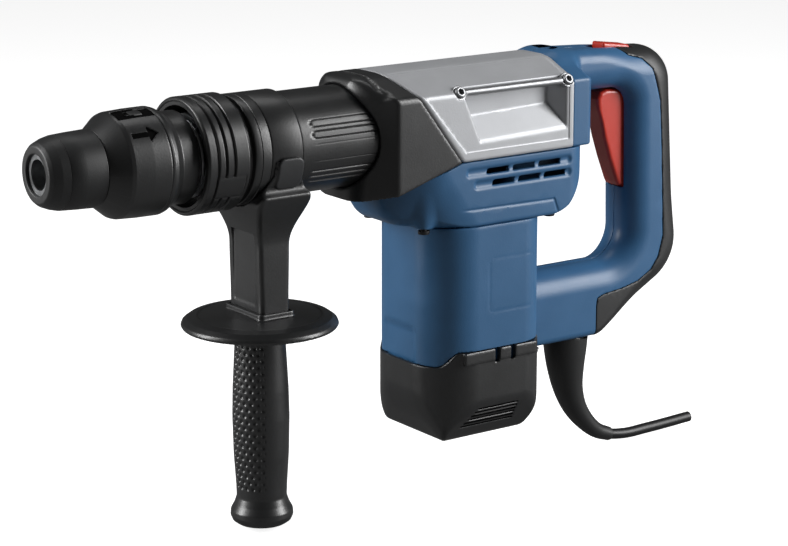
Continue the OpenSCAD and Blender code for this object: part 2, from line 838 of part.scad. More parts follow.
module handle_shell() {
    difference() {
        union() {
            difference() {
                side_plate(seat_gap, grip_half_w) handle_2d(0);
                side_plate(-seat_gap, grip_half_w + through) rubber_2d(-through);
            }
            side_plate(seat_gap, core_half_w) intersection() {
                rubber_2d(rubber_t);
                handle_2d(0);
            }
            box([root_front, seat_gap, cover_low_z], [root_rear, root_half_w, 37]);
            linear_extrude(36) polygon([[root_rear - 1, seat_gap], [root_rear - 1, 38], [412, grip_half_w],
                                        [412, seat_gap]]);
        }
        difference() {
            union() {
                side_plate(-through, room_half_w) handle_2d(-rubber_t - wall);
                box([root_front + wall, -through, cover_low_z + wall], [root_rear - wall,
                    root_half_w - wall, 33]);
            }
            for (p = screw_at) translate([p[0], 0, p[1]]) rod_y(seat_gap, room_half_w + through, 4.6);
        }
        side_plate(-through, root_half_w + through) polygon(belt(handle_opening, 0));
        box([390, -through, pin_z - 6.5], [441, trigger_half_w + 0.4, 12]);
        box([402, -through, 28], [437, slider_half_w + 0.4, 50]);
        translate([pin_x, 0, pin_z]) rod_y(-through, 15, 1.83);
        translate([boot_x, 0, 0]) rod_z(-170, -141, boot_neck_r + 0.1);
    }
}

module handle_left() {
    color("#2f5f8f") difference() {
        mirror([0, 1, 0]) handle_shell();
        for (p = screw_at) translate([p[0], 0, p[1]]) rod_y(-11, through, 2.03);
    }
}

module handle_right() {
    color("#2f5f8f") difference() {
        handle_shell();
        for (p = screw_at) translate([p[0], 0, p[1]]) {
            rod_y(-through, grip_half_w, 2.03);
            rod_y(10.4, root_half_w + through, 4.2);
        }
    }
}

module handle_screws() {
    color("silver") for (p = screw_at) translate([p[0], 0, p[1]]) difference() {
        union() {
            rod_y(-10.5, 10.6, 2);
            rod_y(10.5, 13, 3.9);
        }
        rod_y(12, 14, 1.4);
    }
}

module trigger() {
    color("#cf3a2a") difference() {
        side_plate(-trigger_half_w, trigger_half_w) polygon([
            [413, 8.5], [408, 6.5], [405.8, 1], [407.5, -10], [412, -26], [418, -42], [425, -58], [428,
                -63.5],
            [433, -65], [436.5, -62.5], [436.5, -56], [433, -44], [431.5, -20], [431, 2], [426, 7.5],
                [420, 8.5]
        ]);
        translate([pin_x, 0, pin_z]) rod_y(-20, 20, 1.85);
    }
}

module trigger_pin() { color("silver") translate([pin_x, 0, pin_z]) rod_y(-14.5, 14.5, 1.8); }

plunger_z = -20;
switch_x = 442;

module switch_module() {
    color("#303030") difference() {
        box([switch_x, -11, -50], [459, 11, -8]);
        translate([0, 0, plunger_z]) rod_x(switch_x - through, 454, 2.85);
    }
}

module switch_plunger() { color("ivory") translate([0, 0, plunger_z]) rod_x(432.2, 447, 2.8); }

module trigger_spring() {
    color("gray") translate([433.2, 0, plunger_z]) along_x() coil(4, 0.4, 4, 8.4);
}

module lock_slider() {
    color("#cf3a2a") side_plate(-slider_half_w, slider_half_w) polygon([
        [410.5, 30], [433.5, 30], [433.5, 37.5], [431, 39], [425, 39.6], [416, 41], [412, 41.2], [410.5, 39.5]
    ]);
}

boot_x = 388;
boot_neck_r = 9.5;
boot_bend_z = -190;
bend_r = 42;

module cable_boot() {
    color("#151617") difference() {
        union() {
            translate([boot_x, 0, 0]) {
                rod_z(-158, -146, boot_neck_r);
                translate([0, 0, boot_bend_z]) cylinder(h = -156 - boot_bend_z, r1 = 8.5, r2 = 13,
                    $fn = round_fn);
                rod_z(-156.2, -154.1, 13);
            }
            boot_arc(7.5);
        }
        cable_path(cable_r + 0.1, cable_end_x + through);
    }
}

// Quarter bend from straight down to straight back
module boot_arc(r) {
    translate([boot_x + bend_r, 0, boot_bend_z]) rotate([90, 0, 0]) rotate(180)
        rotate_extrude(angle = 90, $fn = round_fn) translate([bend_r, 0]) circle(r = r, $fn = 48);
}

module cable_path(r, x_end) {
    translate([boot_x, 0, 0]) rod_z(boot_bend_z, -144, r);
    boot_arc(r);
    translate([0, 0, boot_bend_z - bend_r]) rod_x(boot_x + bend_r, x_end, r);
}

module power_cable() { color("#101112") union() cable_path(cable_r, cable_end_x); }

// ---------- side handle ----------

band_front = 136;
band_rear = 157.6;
band_r = 33.6;
post_half_l = 10.6;
post_half_w = 18.5;
post_low = -100;
bolt_r = 4;

module clamp_band() {
    color("#232526") tube_x(band_front, band_rear, band_r, seat_r + run_gap);
}

module handle_post() {
    color("#1e2021") difference() {
        side_wall = [[-post_half_w, post_low], [-post_half_w, -58], [-23, -42], [-34, -24], [-35.6,
            -4], [-33, -2]];
        translate([post_x - post_half_l, 0, 0]) rotate([90, 0, 90]) linear_extrude(2 * post_half_l)
            polygon(concat(side_wall, [for (i = [len(side_wall) - 1:-1:0]) [-side_wall[i][0],
                side_wall[i][1]]]));
        rod_x(100, 200, band_r + seat_gap);
        translate([post_x, 0, 0]) {
            rod_z(post_low - through, -30, bolt_r + run_gap);
            rod_z(-42, -30, 7.6);
        }
    }
}

module hand_guard() {
    color("#1b1d1e") translate([post_x, 0, 0]) difference() {
        union() {
            rotate_extrude($fn = round_fn) polygon([
                [0, -102], [24, -103], [38, -104.6], [guard_r - 4, -106], [guard_r - 0.6, -108.4],
                [guard_r, -109.6], [guard_r - 1.2, -110.6], [38, -107.8], [24, -106.6], [15, -107.5],
                    [0, -107.5]
            ]);
            box([-post_half_l - 2, -post_half_w - 2, -104], [post_half_l + 2, post_half_w + 2, post_low + 1]);
        }
        box([-post_half_l - 0.1, -post_half_w - 0.1, post_low - 0.05], [post_half_l + 0.1,
            post_half_w + 0.1, -90]);
        rod_z(-120, -90, bolt_r + run_gap);
    }
}

module clamp_bolt() {
    color("silver") translate([post_x, 0, 0]) union() {
        rod_z(-150, -38, bolt_r);
        rod_z(-41.5, -37.2, 7.5);
    }
}

grip_top = -107.7;

module side_grip() {
    color("#161819") translate([post_x, 0, 0]) difference() {
        rotate_extrude($fn = round_fn) polygon([
            [0, grip_top], [14.6, grip_top], [14.9, -110], [15.6, -122], [17.2, -150], [17.6, -168],
                [17, -192],
            [15.7, -212], [15.4, -220], [16.6, -223.5], [19, -227], [19.6, -230], [18.6,
                side_grip_low_z + 2.5],
            [15, side_grip_low_z], [0, side_grip_low_z]
        ]);
        rod_z(-153, -100, bolt_r + run_gap);
        translate([0, 0, -124]) cylinder(h = 20, r = 8.05, $fn = 6);
    }
}

module grip_nut() {
    color("silver") translate([post_x, 0, 0]) difference() {
        translate([0, 0, -123.9]) cylinder(h = 10, r = 8, $fn = 6);
        rod_z(-130, -100, bolt_r + run_gap);
    }
}

dust_cap();
tool_holder();
spring_seat();
sleeve_spring();
locking_sleeve();
roller_left();
roller_right();
adjusting_ring();
front_bush();
front_band();
barrel();
hammer_tube();
impact_bolt();
striker();
piston();
connecting_rod();
wrist_pin();
crankshaft();
crank_gear();
crank_bearings();
crankcase_lid();
gear_housing();
top_cover();
guard_rods();
cover_screws();
body_shroud();
body_screws();
motor_housing();
end_cap();
armature_shaft();
armature_core();
commutator();
cooling_fan();
stator();
field_coils();
air_baffle();
motor_bearings();
brush_holders();
carbon_brushes();
brush_springs();
handle_left();
handle_right();
handle_screws();
soft_grip();
trigger();
trigger_pin();
trigger_spring();
switch_module();
switch_plunger();
lock_slider();
cable_boot();
power_cable();
clamp_band();
handle_post();
hand_guard();
clamp_bolt();
side_grip();
grip_nut();
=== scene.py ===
"""Light electric demolition hammer: the looks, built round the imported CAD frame.

Shapes are worked out in millimetres in the row frame: the striking axis is X, the tool points to -X, +Z is up.
Moulded shells are distance fields with rounded edges, turned into meshes. Turned parts are lathed meshes whose
surface is carved. Every piece rides on its CAD body.
"""
import math
import json

import bpy
import numpy as np
from mathutils import Matrix, Vector


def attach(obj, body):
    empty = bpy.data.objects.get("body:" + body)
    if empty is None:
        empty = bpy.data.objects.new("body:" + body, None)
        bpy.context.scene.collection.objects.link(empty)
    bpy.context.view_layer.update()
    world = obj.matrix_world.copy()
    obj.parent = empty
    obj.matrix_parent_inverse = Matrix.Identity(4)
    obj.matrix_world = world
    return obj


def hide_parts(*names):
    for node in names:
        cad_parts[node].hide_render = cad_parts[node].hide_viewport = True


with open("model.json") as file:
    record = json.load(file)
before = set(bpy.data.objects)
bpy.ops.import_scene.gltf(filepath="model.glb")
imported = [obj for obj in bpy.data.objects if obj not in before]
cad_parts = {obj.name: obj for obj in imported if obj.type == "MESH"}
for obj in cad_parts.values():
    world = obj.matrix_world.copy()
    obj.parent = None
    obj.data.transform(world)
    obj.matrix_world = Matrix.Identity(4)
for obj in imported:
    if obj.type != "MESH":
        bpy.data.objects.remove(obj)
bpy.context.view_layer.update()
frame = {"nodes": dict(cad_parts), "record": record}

MM = 0.001
FINE = 1.0     # grid step factor


# ---------------------------------------------------------------- distance fields

def fillet_cut(a, b, r):
    """Inside both a and b, with a round edge of radius r."""
    u = np.maximum(a + r, 0)
    v = np.maximum(b + r, 0)
    return np.minimum(-r, np.maximum(a, b)) + np.sqrt(u * u + v * v)


def fillet_join(a, b, r):
    """Inside a or b, with a round inner corner of radius r."""
    u = np.maximum(r - a, 0)
    v = np.maximum(r - b, 0)
    return np.maximum(r, np.minimum(a, b)) - np.sqrt(u * u + v * v)


def cut(a, b, r):
    """a without b, with a round edge of radius r."""
    return fillet_cut(a, -b, r)


def line(u, v, p, q):
    """Signed distance to the line from p to q: positive on its right side."""
    du, dv = q[0] - p[0], q[1] - p[1]
    n = math.hypot(du, dv)
    return ((u - p[0]) * dv - (v - p[1]) * du) / n


def slab(u, low, high):
    return np.abs(u - (low + high) / 2) - (high - low) / 2


def rect(u, v, cu, cv, hu, hv, r):
    """Rounded rectangle about (cu, cv)."""
    a = np.abs(u - cu) - hu + r
    b = np.abs(v - cv) - hv + r
    return np.minimum(np.maximum(a, b), 0) + np.hypot(np.maximum(a, 0), np.maximum(b, 0)) - r


def block(p, centre, half, r):
    q = [np.abs(p[i] - centre[i]) - half[i] + r for i in range(3)]
    outside = np.sqrt(sum(np.maximum(c, 0) ** 2 for c in q))
    return np.minimum(np.maximum(np.maximum(q[0], q[1]), q[2]), 0) + outside - r


def stick(p, a, b, r):
    """Round-ended rod from a to b."""
    a, b = np.array(a, float), np.array(b, float)
    ab = b - a
    t = sum((p[i] - a[i]) * ab[i] for i in range(3)) / (ab @ ab)
    t = np.clip(t, 0, 1)
    return np.sqrt(sum((p[i] - a[i] - t * ab[i]) ** 2 for i in range(3))) - r


def polygon(u, v, points):
    """Signed distance to a closed polygon."""
    best = np.full(u.shape, 1e12, np.float32)
    inside = np.zeros(u.shape, bool)
    for (u0, v0), (u1, v1) in zip(points, points[1:] + points[:1]):
        eu, ev = u1 - u0, v1 - v0
        wu, wv = u - u0, v - v0
        t = np.clip((wu * eu + wv * ev) / (eu * eu + ev * ev), 0, 1)
        best = np.minimum(best, (wu - t * eu) ** 2 + (wv - t * ev) ** 2)
        crosses = (v0 > v) != (v1 > v)
        if ev != 0:
            inside ^= crosses & (u < u0 + (v - v0) * eu / ev)
    d = np.sqrt(best)
    return np.where(inside, -d, d)


def convex(u, v, corners):
    """Convex outline of corners (u, v, r), anticlockwise: straight sides, and a corner rounded to radius r."""
    sides = [line(u, v, p, q) for p, q in zip(corners, corners[1:] + corners[:1])]
    d = sides[0]
    for i, corner in enumerate(corners):
        d = np.maximum(d, fillet_cut(sides[i - 1], sides[i], corner[2]))
    return d


# ---------------------------------------------------------------- meshes from fields

def sample(field, low, high, step):
    """Field values on a grid. Blocks far from the surface only get a sign."""
    size = 8
    counts = [int(math.ceil((high[i] - low[i]) / step / size)) for i in range(3)]
    axes = [low[i] + step * np.arange(counts[i] * size + 1) for i in range(3)]
    mids = [low[i] + step * size * (np.arange(counts[i]) + 0.5) for i in range(3)]
    grid = np.meshgrid(*mids, indexing="ij")
    coarse = field([g.ravel() for g in grid]).reshape(counts)
    reach = step * size * math.sqrt(3) / 2 * 1.15 + step
    near = np.abs(coarse) <= reach
    values = np.repeat(np.repeat(np.repeat(np.sign(coarse), size, 0), size, 1), size, 2)
    values = np.pad(values, ((0, 1), (0, 1), (0, 1)), mode="edge").astype(np.float32)
    mask = np.zeros(values.shape, bool)
    for i, j, k in np.argwhere(near):
        mask[i * size:(i + 1) * size + 1, j * size:(j + 1) * size + 1, k * size:(k + 1) * size + 1] = True
    where = np.nonzero(mask)
    points = [axes[i][where[i]].astype(np.float32) for i in range(3)]
    values[where] = field(points)
    return axes, values


def gradient(field, p, eps):
    base = [p[:, 0], p[:, 1], p[:, 2]]
    out = np.empty_like(p)
    for i in range(3):
        ahead = list(base)
        behind = list(base)
        ahead[i] = base[i] + eps
        behind[i] = base[i] - eps
        out[:, i] = (field(ahead) - field(behind)) / (2 * eps)
    return out


def onto_surface(field, p, step, rounds=2):
    """Moves points onto the zero surface of the field."""
    for _ in range(rounds):
        g = gradient(field, p, 0.15 * step)
        d = field([p[:, 0], p[:, 1], p[:, 2]])
        move = d[:, None] * g / np.maximum((g * g).sum(1, keepdims=True), 0.25)
        length = np.linalg.norm(move, axis=1, keepdims=True)
        p = p - move * np.minimum(1, 0.6 * step / np.maximum(length, 1e-9))
    return p


def surface(field, low, high, step):
    """Vertices and quads of the field's zero surface."""
    axes, f = sample(field, low, high, step)
    inside = f < 0
    corner = [inside[i:inside.shape[0] - 1 + i, j:inside.shape[1] - 1 + j, k:inside.shape[2] - 1 + k]
              for i in (0, 1) for j in (0, 1) for k in (0, 1)]
    total = sum(c.astype(np.uint8) for c in corner)
    cells = np.nonzero((total > 0) & (total < 8))
    number = np.full(total.shape, -1, np.int64)
    number[cells] = np.arange(len(cells[0]))
    position = np.zeros((len(cells[0]), 3))
    hits = np.zeros(len(cells[0]))
    offsets = [(i, j, k) for i in (0, 1) for j in (0, 1) for k in (0, 1)]
    for a in offsets:
        for axis in range(3):
            if a[axis]:
                continue
            b = list(a)
            b[axis] = 1
            fa = f[cells[0] + a[0], cells[1] + a[1], cells[2] + a[2]]
            fb = f[cells[0] + b[0], cells[1] + b[1], cells[2] + b[2]]
            crossed = (fa < 0) != (fb < 0)
            t = np.where(crossed, fa / np.where(crossed, fa - fb, 1), 0)
            for i in range(3):
                place = cells[i] + a[i] + (t if i == axis else 0)
                position[:, i] += np.where(crossed, place, 0)
            hits += crossed
    position /= hits[:, None]
    vertices = np.stack([axes[i][0] + step * position[:, i] for i in range(3)], 1)
    quads = []
    for axis in range(3):
        o1, o2 = (axis + 1) % 3, (axis + 2) % 3
        ahead = [slice(None)] * 3
        ahead[axis] = slice(1, None)
        back = [slice(None)] * 3
        back[axis] = slice(None, -1)
        change = inside[tuple(ahead)] != inside[tuple(back)]
        edge = np.argwhere(change)
        edge = edge[(edge[:, o1] > 0) & (edge[:, o2] > 0)
                    & (edge[:, o1] < f.shape[o1] - 1) & (edge[:, o2] < f.shape[o2] - 1)]
        ring = []
        for s1, s2 in ((-1, -1), (0, -1), (0, 0), (-1, 0)):
            cell = edge.copy()
            cell[:, o1] += s1
            cell[:, o2] += s2
            ring.append(number[cell[:, 0], cell[:, 1], cell[:, 2]])
        face = np.stack(ring, 1)
        starts_inside = inside[edge[:, 0], edge[:, 1], edge[:, 2]]
        face[~starts_inside] = face[~starts_inside][:, ::-1]
        quads.append(face)
    quads = np.concatenate(quads)
    quads = quads[(quads >= 0).all(1)]
    return onto_surface(field, vertices, step), quads


def new_mesh(name, vertices, faces, sharp_deg=40):
    """Object from vertices in millimetres."""
    mesh = bpy.data.meshes.new(name)
    if isinstance(faces, np.ndarray):
        mesh.vertices.add(len(vertices))
        mesh.vertices.foreach_set("co", (np.asarray(vertices) * MM).astype(np.float32).ravel())
        width = faces.shape[1]
        mesh.loops.add(faces.size)
        mesh.loops.foreach_set("vertex_index", faces.astype(np.int32).ravel())
        mesh.polygons.add(len(faces))
        mesh.polygons.foreach_set("loop_start", np.arange(0, faces.size, width, dtype=np.int32))
        mesh.update(calc_edges=True)
        mesh.validate()
    else:
        mesh.from_pydata([tuple(MM * c for c in v) for v in vertices], [], faces)
    mesh.shade_smooth()
    if sharp_deg:
        mesh.set_sharp_from_angle(angle=math.radians(sharp_deg))
    obj = bpy.data.objects.new(name, mesh)
    bpy.context.scene.collection.objects.link(obj)
    return obj


def bake_modifiers(obj):
    """Replaces the mesh by its modified form."""
    graph = bpy.context.evaluated_depsgraph_get()
    mesh = bpy.data.meshes.new_from_object(obj.evaluated_get(graph), depsgraph=graph)
    old = obj.data
    obj.modifiers.clear()
    obj.data = mesh
    mesh.name = old.name
    bpy.data.meshes.remove(old)


def moulded(name, field, low, high, step=0.9, keep=0.4, sharp_deg=45):
    """Piece from a distance field: surface, thinned, put back on the field and shaded by its large faces."""
    step = step * FINE
    vertices, quads = surface(field, low, high, step)
    obj = new_mesh(name, vertices, quads, 0)
    thin = obj.modifiers.new("thin", "DECIMATE")
    thin.ratio = keep
    bake_modifiers(obj)
    co = np.empty(len(obj.data.vertices) * 3, np.float32)
    obj.data.vertices.foreach_get("co", co)
    co = onto_surface(field, co.reshape(-1, 3).astype(float) / MM, step, 1)
    obj.data.vertices.foreach_set("co", (co * MM).astype(np.float32).ravel())
    obj.data.update()
    obj.data.shade_smooth()
    obj.data.set_sharp_from_angle(angle=math.radians(sharp_deg))
    weight = obj.modifiers.new("weight", "WEIGHTED_NORMAL")
    weight.keep_sharp = True
    weight.weight = 60
    return obj


def rounded_profile(points, steps=5):
    """Open profile of (x, r, fillet) points with its corners rounded."""
    out = [points[0][:2]]
    for before, here, after in zip(points, points[1:], points[2:]):
        radius = here[2] if len(here) > 2 else 0
        if not radius:
            out.append(here[:2])
            continue
        a = np.array(before[:2], float) - here[:2]
        b = np.array(after[:2], float) - here[:2]
        la, lb = np.linalg.norm(a), np.linalg.norm(b)
        a /= la
        b /= lb
        half = math.acos(np.clip(a @ b, -1, 1)) / 2
        reach = min(radius / math.tan(half), 0.49 * la, 0.49 * lb)
        start, end, mid = here[:2] + a * reach, here[:2] + b * reach, np.array(here[:2], float)
        for i in range(steps + 1):
            t = i / steps
            out.append(tuple((1 - t) ** 2 * start + 2 * t * (1 - t) * mid + t * t * end))
    out.append(points[-1][:2])
    return out


def resample(profile, spacing):
    """Adds points along a profile so that none are further apart than spacing."""
    out = [profile[0]]
    for a, b in zip(profile, profile[1:]):
        n = max(1, int(math.ceil(math.dist(a, b) / spacing)))
        out += [(a[0] + (b[0] - a[0]) * i / n, a[1] + (b[1] - a[1]) * i / n) for i in range(1, n + 1)]
    return out


def lathe(name, profile, segments=160, carve=None, axis="x", at=(0, 0, 0), sharp_deg=40):
    """Closed ring-shaped piece: the (position, radius) profile turned about an axis.
    carve(position, angle, radius) gives the change of radius, where angle 0 is +Y for axis x, and +X for axis z."""
    segments = int(segments / FINE) if carve else segments
    x = np.array([p[0] for p in profile])[:, None]
    r = np.array([p[1] for p in profile])[:, None]
    angle = np.linspace(0, 2 * math.pi, segments, endpoint=False)[None, :]
    x, r, angle = np.broadcast_arrays(x, r, angle)
    if carve:
        r = r + carve(x, angle, r)
    if axis == "x":
        xyz = [x, r * np.cos(angle), r * np.sin(angle)]
    else:
        xyz = [r * np.cos(angle), r * np.sin(angle), x]
    vertices = np.stack([c + o for c, o in zip(xyz, at)], -1).reshape(-1, 3)
    rows, columns = x.shape
    i, j = np.meshgrid(np.arange(rows), np.arange(columns), indexing="ij")
    i2, j2 = (i + 1) % rows, (j + 1) % columns
    quads = np.stack([i * columns + j, i * columns + j2, i2 * columns + j2, i2 * columns + j], -1).reshape(-1, 4)
    area = sum(a[0] * b[1] - b[0] * a[1] for a, b in zip(profile, profile[1:] + profile[:1]))
    if area < 0:
        quads = quads[:, ::-1]
    return new_mesh(name, vertices, quads, sharp_deg)


def piece(obj, body, material, *nodes):
    """Gives the object its material and body, and hides the CAD nodes it stands for."""
    obj.data.materials.clear()
    obj.data.materials.append(material)
    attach(obj, body)
    if nodes:
        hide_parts(*nodes)
    return obj


SLOT_OF = {s["node"]: s["material_slot"] for s in frame["record"]["subparts"]}


# ---------------------------------------------------------------- materials

def material(name, colour, rough, metal=0.0, grain=0.0, grain_scale=900.0, tint=0.06, wear=0.0, coat=0.0,
             brushed=None, mottle=60.0, shine=0.5):
    """Procedural finish: colour mottling, uneven roughness, moulded or ground grain and lighter worn edges."""
    mat = bpy.data.materials.new(name)
    mat.use_nodes = True
    nodes, links = mat.node_tree.nodes, mat.node_tree.links
    shader = nodes["Principled BSDF"]
    place = nodes.new("ShaderNodeTexCoord").outputs["Object"]
    broad = nodes.new("ShaderNodeTexNoise")
    broad.inputs["Scale"].default_value = mottle
    broad.inputs["Detail"].default_value = 4
    links.new(place, broad.inputs["Vector"])
    ramp = nodes.new("ShaderNodeValToRGB")
    ramp.color_ramp.elements[0].position = 0.3
    ramp.color_ramp.elements[1].position = 0.7
    for element, k in zip(ramp.color_ramp.elements, (1 - tint, 1 + tint)):
        element.color = [min(1, c * k) for c in colour] + [1]
    links.new(broad.outputs["Fac"], ramp.inputs["Fac"])
    tone = ramp.outputs["Color"]
    if wear:
        edge = nodes.new("ShaderNodeNewGeometry")
        worn = nodes.new("ShaderNodeMapRange")
        worn.inputs["From Min"].default_value = 0.53
        worn.inputs["From Max"].default_value = 0.62
        links.new(edge.outputs["Pointiness"], worn.inputs["Value"])
        scaled = nodes.new("ShaderNodeMath")
        scaled.operation = "MULTIPLY"
        scaled.inputs[1].default_value = wear
        links.new(worn.outputs["Result"], scaled.inputs[0])
        mix = nodes.new("ShaderNodeMix")
        mix.data_type = "RGBA"
        links.new(scaled.outputs["Value"], mix.inputs["Factor"])
        links.new(tone, mix.inputs["A"])
        mix.inputs["B"].default_value = [min(1, c * 1.6 + 0.02) for c in colour] + [1]
        tone = mix.outputs["Result"]
    links.new(tone, shader.inputs["Base Color"])
    uneven = nodes.new("ShaderNodeMapRange")
    uneven.inputs["To Min"].default_value = max(0.02, rough - 0.06)
    uneven.inputs["To Max"].default_value = min(1, rough + 0.06)
    links.new(broad.outputs["Fac"], uneven.inputs["Value"])
    links.new(uneven.outputs["Result"], shader.inputs["Roughness"])
    shader.inputs["Metallic"].default_value = metal
    shader.inputs["Specular IOR Level"].default_value = shine
    shader.inputs["Coat Weight"].default_value = coat
    shader.inputs["Coat Roughness"].default_value = 0.25
    if grain:
        fine = nodes.new("ShaderNodeTexNoise")
        fine.inputs["Scale"].default_value = grain_scale
        fine.inputs["Detail"].default_value = 2
        vector = place
        if brushed:
            stretch = nodes.new("ShaderNodeMapping")
            stretch.inputs["Scale"].default_value = brushed
            links.new(place, stretch.inputs["Vector"])
            vector = stretch.outputs["Vector"]
        links.new(vector, fine.inputs["Vector"])
        bump = nodes.new("ShaderNodeBump")
        bump.inputs["Strength"].default_value = grain
        bump.inputs["Distance"].default_value = 0.0002
        links.new(fine.outputs["Fac"], bump.inputs["Height"])
        links.new(bump.outputs["Normal"], shader.inputs["Normal"])
    return mat


MATERIALS = {
    "black_rubber": material("black_rubber", (0.011, 0.0115, 0.012), 0.48, grain=0.3, grain_scale=1400,
                             wear=0.2, shine=0.7),
    "cable_jacket": material("cable_jacket", (0.009, 0.009, 0.010), 0.42, grain=0.1),
    "black_plastic": material("black_plastic", (0.0125, 0.013, 0.0135), 0.36, grain=0.22, wear=0.3, shine=0.85),
    "barrel_black": material("barrel_black", (0.0105, 0.011, 0.0115), 0.36, grain=0.22, wear=0.3, shine=0.85),
    "blue_plastic": material("blue_plastic", (0.040, 0.132, 0.275), 0.38, grain=0.22, tint=0.04, wear=0.12),
    "red_plastic": material("red_plastic", (0.60, 0.040, 0.022), 0.30, grain=0.08, tint=0.04, coat=0.2),
    "silver_cover": material("silver_cover", (0.50, 0.51, 0.53), 0.42, metal=0.3, grain=0.25, tint=0.03),
    "bright_rod": material("bright_rod", (0.30, 0.305, 0.315), 0.40, metal=0.8, grain=0.05, tint=0.03),
    "steel": material("steel", (0.46, 0.47, 0.48), 0.30, metal=1.0, grain=0.25, brushed=(1, 8, 8)),
    "case_alloy": material("case_alloy", (0.48, 0.49, 0.50), 0.5, metal=0.9, grain=0.6, grain_scale=500),
    "bearing_bronze": material("bearing_bronze", (0.50, 0.33, 0.12), 0.32, metal=1.0, grain=0.2, brushed=(8, 1, 1)),
    "brass_parts": material("brass_parts", (0.62, 0.45, 0.16), 0.28, metal=1.0, grain=0.15),
    "copper": material("copper", (0.56, 0.24, 0.10), 0.34, metal=0.9, grain=0.5, brushed=(1, 1, 6)),
    "laminations": material("laminations", (0.20, 0.20, 0.21), 0.46, metal=0.9, grain=0.8, brushed=(0.2, 0.2, 4)),
    "carbon": material("carbon", (0.03, 0.03, 0.03), 0.55, grain=0.5),
    "plunger_plastic": material("plunger_plastic", (0.72, 0.70, 0.62), 0.4, grain=0.1),
}
ENGRAVED = material("engraved_black", (0.002, 0.002, 0.002), 0.8, grain=0.3, shine=0.05)
# Steel painted dark for the body screws: painted shade, standing in for the shadow gap under the shroud skirt where
# they sit.
SHADE_PAINTED_STEEL = material("shade_painted_steel", (0.05, 0.05, 0.052), 0.42, metal=0.9, grain=0.2)
TAB_GREY = material("tab_grey", (0.040, 0.041, 0.043), 0.42, grain=0.2)
for cad_name, cad_object in frame["nodes"].items():
    cad_object.data.materials.clear()
    cad_object.data.materials.append(MATERIALS[SLOT_OF[cad_name]])


def place(obj, body, node, second=None):
    piece(obj, body, MATERIALS[SLOT_OF[node]], node)
    if second:
        obj.data.materials.append(second)
    return obj


# ---------------------------------------------------------------- turned parts

POST_X = 147     # middle of the side handle


def smooth(low, high, value):
    t = np.clip((value - low) / (high - low), 0, 1)
    return t * t * (3 - 2 * t)


def inside(d, edge=0.25):
    """1 inside the outline whose distance is d, fading to 0 over the edge width."""
    return 1 - smooth(-edge, edge, d)


def near_turn(angle, centre_deg):
    """Angle from centre_deg, between -pi and pi."""
    return (angle - math.radians(centre_deg) + math.pi) % (2 * math.pi) - math.pi


def dust_cap():
    profile = rounded_profile([
        (-0.1, 14.55), (-0.1, 12), (-2, 12.2, 0.8), (-2, 16.6, 1.6), (0.2, 18.6, 2.5), (5, 20.6, 2.5),
        (9.6, 21.7), (9.9, 21.45), (10.2, 21.8), (20, 22.4, 4), (33, 22.9, 0.6), (33, 14.55)])
    return lathe("dust_cap_skin", profile, 192, sharp_deg=50)


def sleeve_outlines(x, angle):
    """Distances to the arrow and to the window on the sleeve, and the place across the window."""
    across, over = near_turn(angle, 138.5) * 32, near_turn(angle, 103) * 32
    head = np.maximum(np.abs(across) - (64.4 - x) * 0.82, 58.4 - x)
    arrow = np.minimum(rect(x, across, 53.6, 0, 5.8, 1.75, 0.2), head)
    return arrow, rect(x, over, 57.4, 0, 12, 6.2, 1.0), over


def sleeve_carve(x, angle, r):
    outer = r > 29
    arrow, window, over = sleeve_outlines(x, angle)
    lock_body = rect(x, over, 58.5, 0, 4, 3.2, 0.6)
    shackle = np.abs(np.hypot(x - 53.6, over) - 2.4) - 0.7
    sign = np.minimum(lock_body, np.where(x < 54.2, shackle, 9))
    window_depth = 0.95 * inside(window) * (1 - 0.75 * inside(sign))
    line_depth = 0.35 * np.exp(-((x - 69.5) / 0.28) ** 2)
    return outer * -(1.05 * inside(arrow) + window_depth + line_depth)


def locking_sleeve():
    profile = rounded_profile([
        (33.4, 20.05), (33.4, 22.4, 0.6), (43.6, 30.6, 2.5), (46, 31.3, 1.5), (58, 31.9), (69, 32), (70, 32),
        (71.5, 32, 2), (74, 31.2, 2), (79, 27.7, 2), (90, 27.7, 0.5), (90, 25.4), (61, 25.4), (61, 20.05)])
    outer = [p for p in profile if p[1] > 27.6 and p[0] > 43.4]
    start, end = profile.index(outer[0]), profile.index(outer[-1])
    profile = profile[:start] + resample(profile[start:end + 1], 0.5 * FINE) + profile[end + 1:]
    return lathe("locking_sleeve_skin", profile, 420, carve=sleeve_carve, sharp_deg=38)


def ink(obj, chosen):
    """Second material on the faces whose centre (in millimetres) is chosen."""
    count = len(obj.data.polygons)
    centre = np.empty(count * 3, np.float32)
    obj.data.polygons.foreach_get("center", centre)
    x, y, z = (centre.reshape(-1, 3) / MM).T
    obj.data.polygons.foreach_set("material_index", chosen(x, y, z).astype(np.int32))
    obj.data.update()


def sleeve_marks(x, y, z):
    r = np.hypot(y, z)
    arrow, window, _ = sleeve_outlines(x, np.arctan2(z, y))
    return (r > 28) & ((arrow < 0.15) | ((window < -0.1) & (r < 31.35)))


def ring_carve(x, angle, r):
    pad = rect(x, near_turn(angle, 206) * 35.3, 108, 0, 9.5, 7.4, 0.8)
    pad_depth = 0.45 * (smooth(-0.5, 0.1, pad) - smooth(0.1, 0.7, pad))
    ribs = sum(np.exp(-(np.abs(x - c) / 0.85) ** 6) for c in (98.2, 103.6, 109.4))
    return (r > 34) * -(1.7 * ribs * smooth(-0.3, 0.6, pad) + pad_depth)


def adjusting_ring():
    outer = rounded_profile([(91.5, 33.2), (91.5, 34.2, 0.8), (92.6, 35.3, 0.8), (119, 35.3, 1), (120, 34.4)])
    outer = resample(outer, 0.35 * FINE)
    profile = [(92.2, 30.4), (92.2, 32.4)] + outer + [(120, 25.05), (112, 25.05), (112, 30), (92.8, 30)]
    return lathe("adjusting_ring_skin", profile, 300, carve=ring_carve, sharp_deg=38)


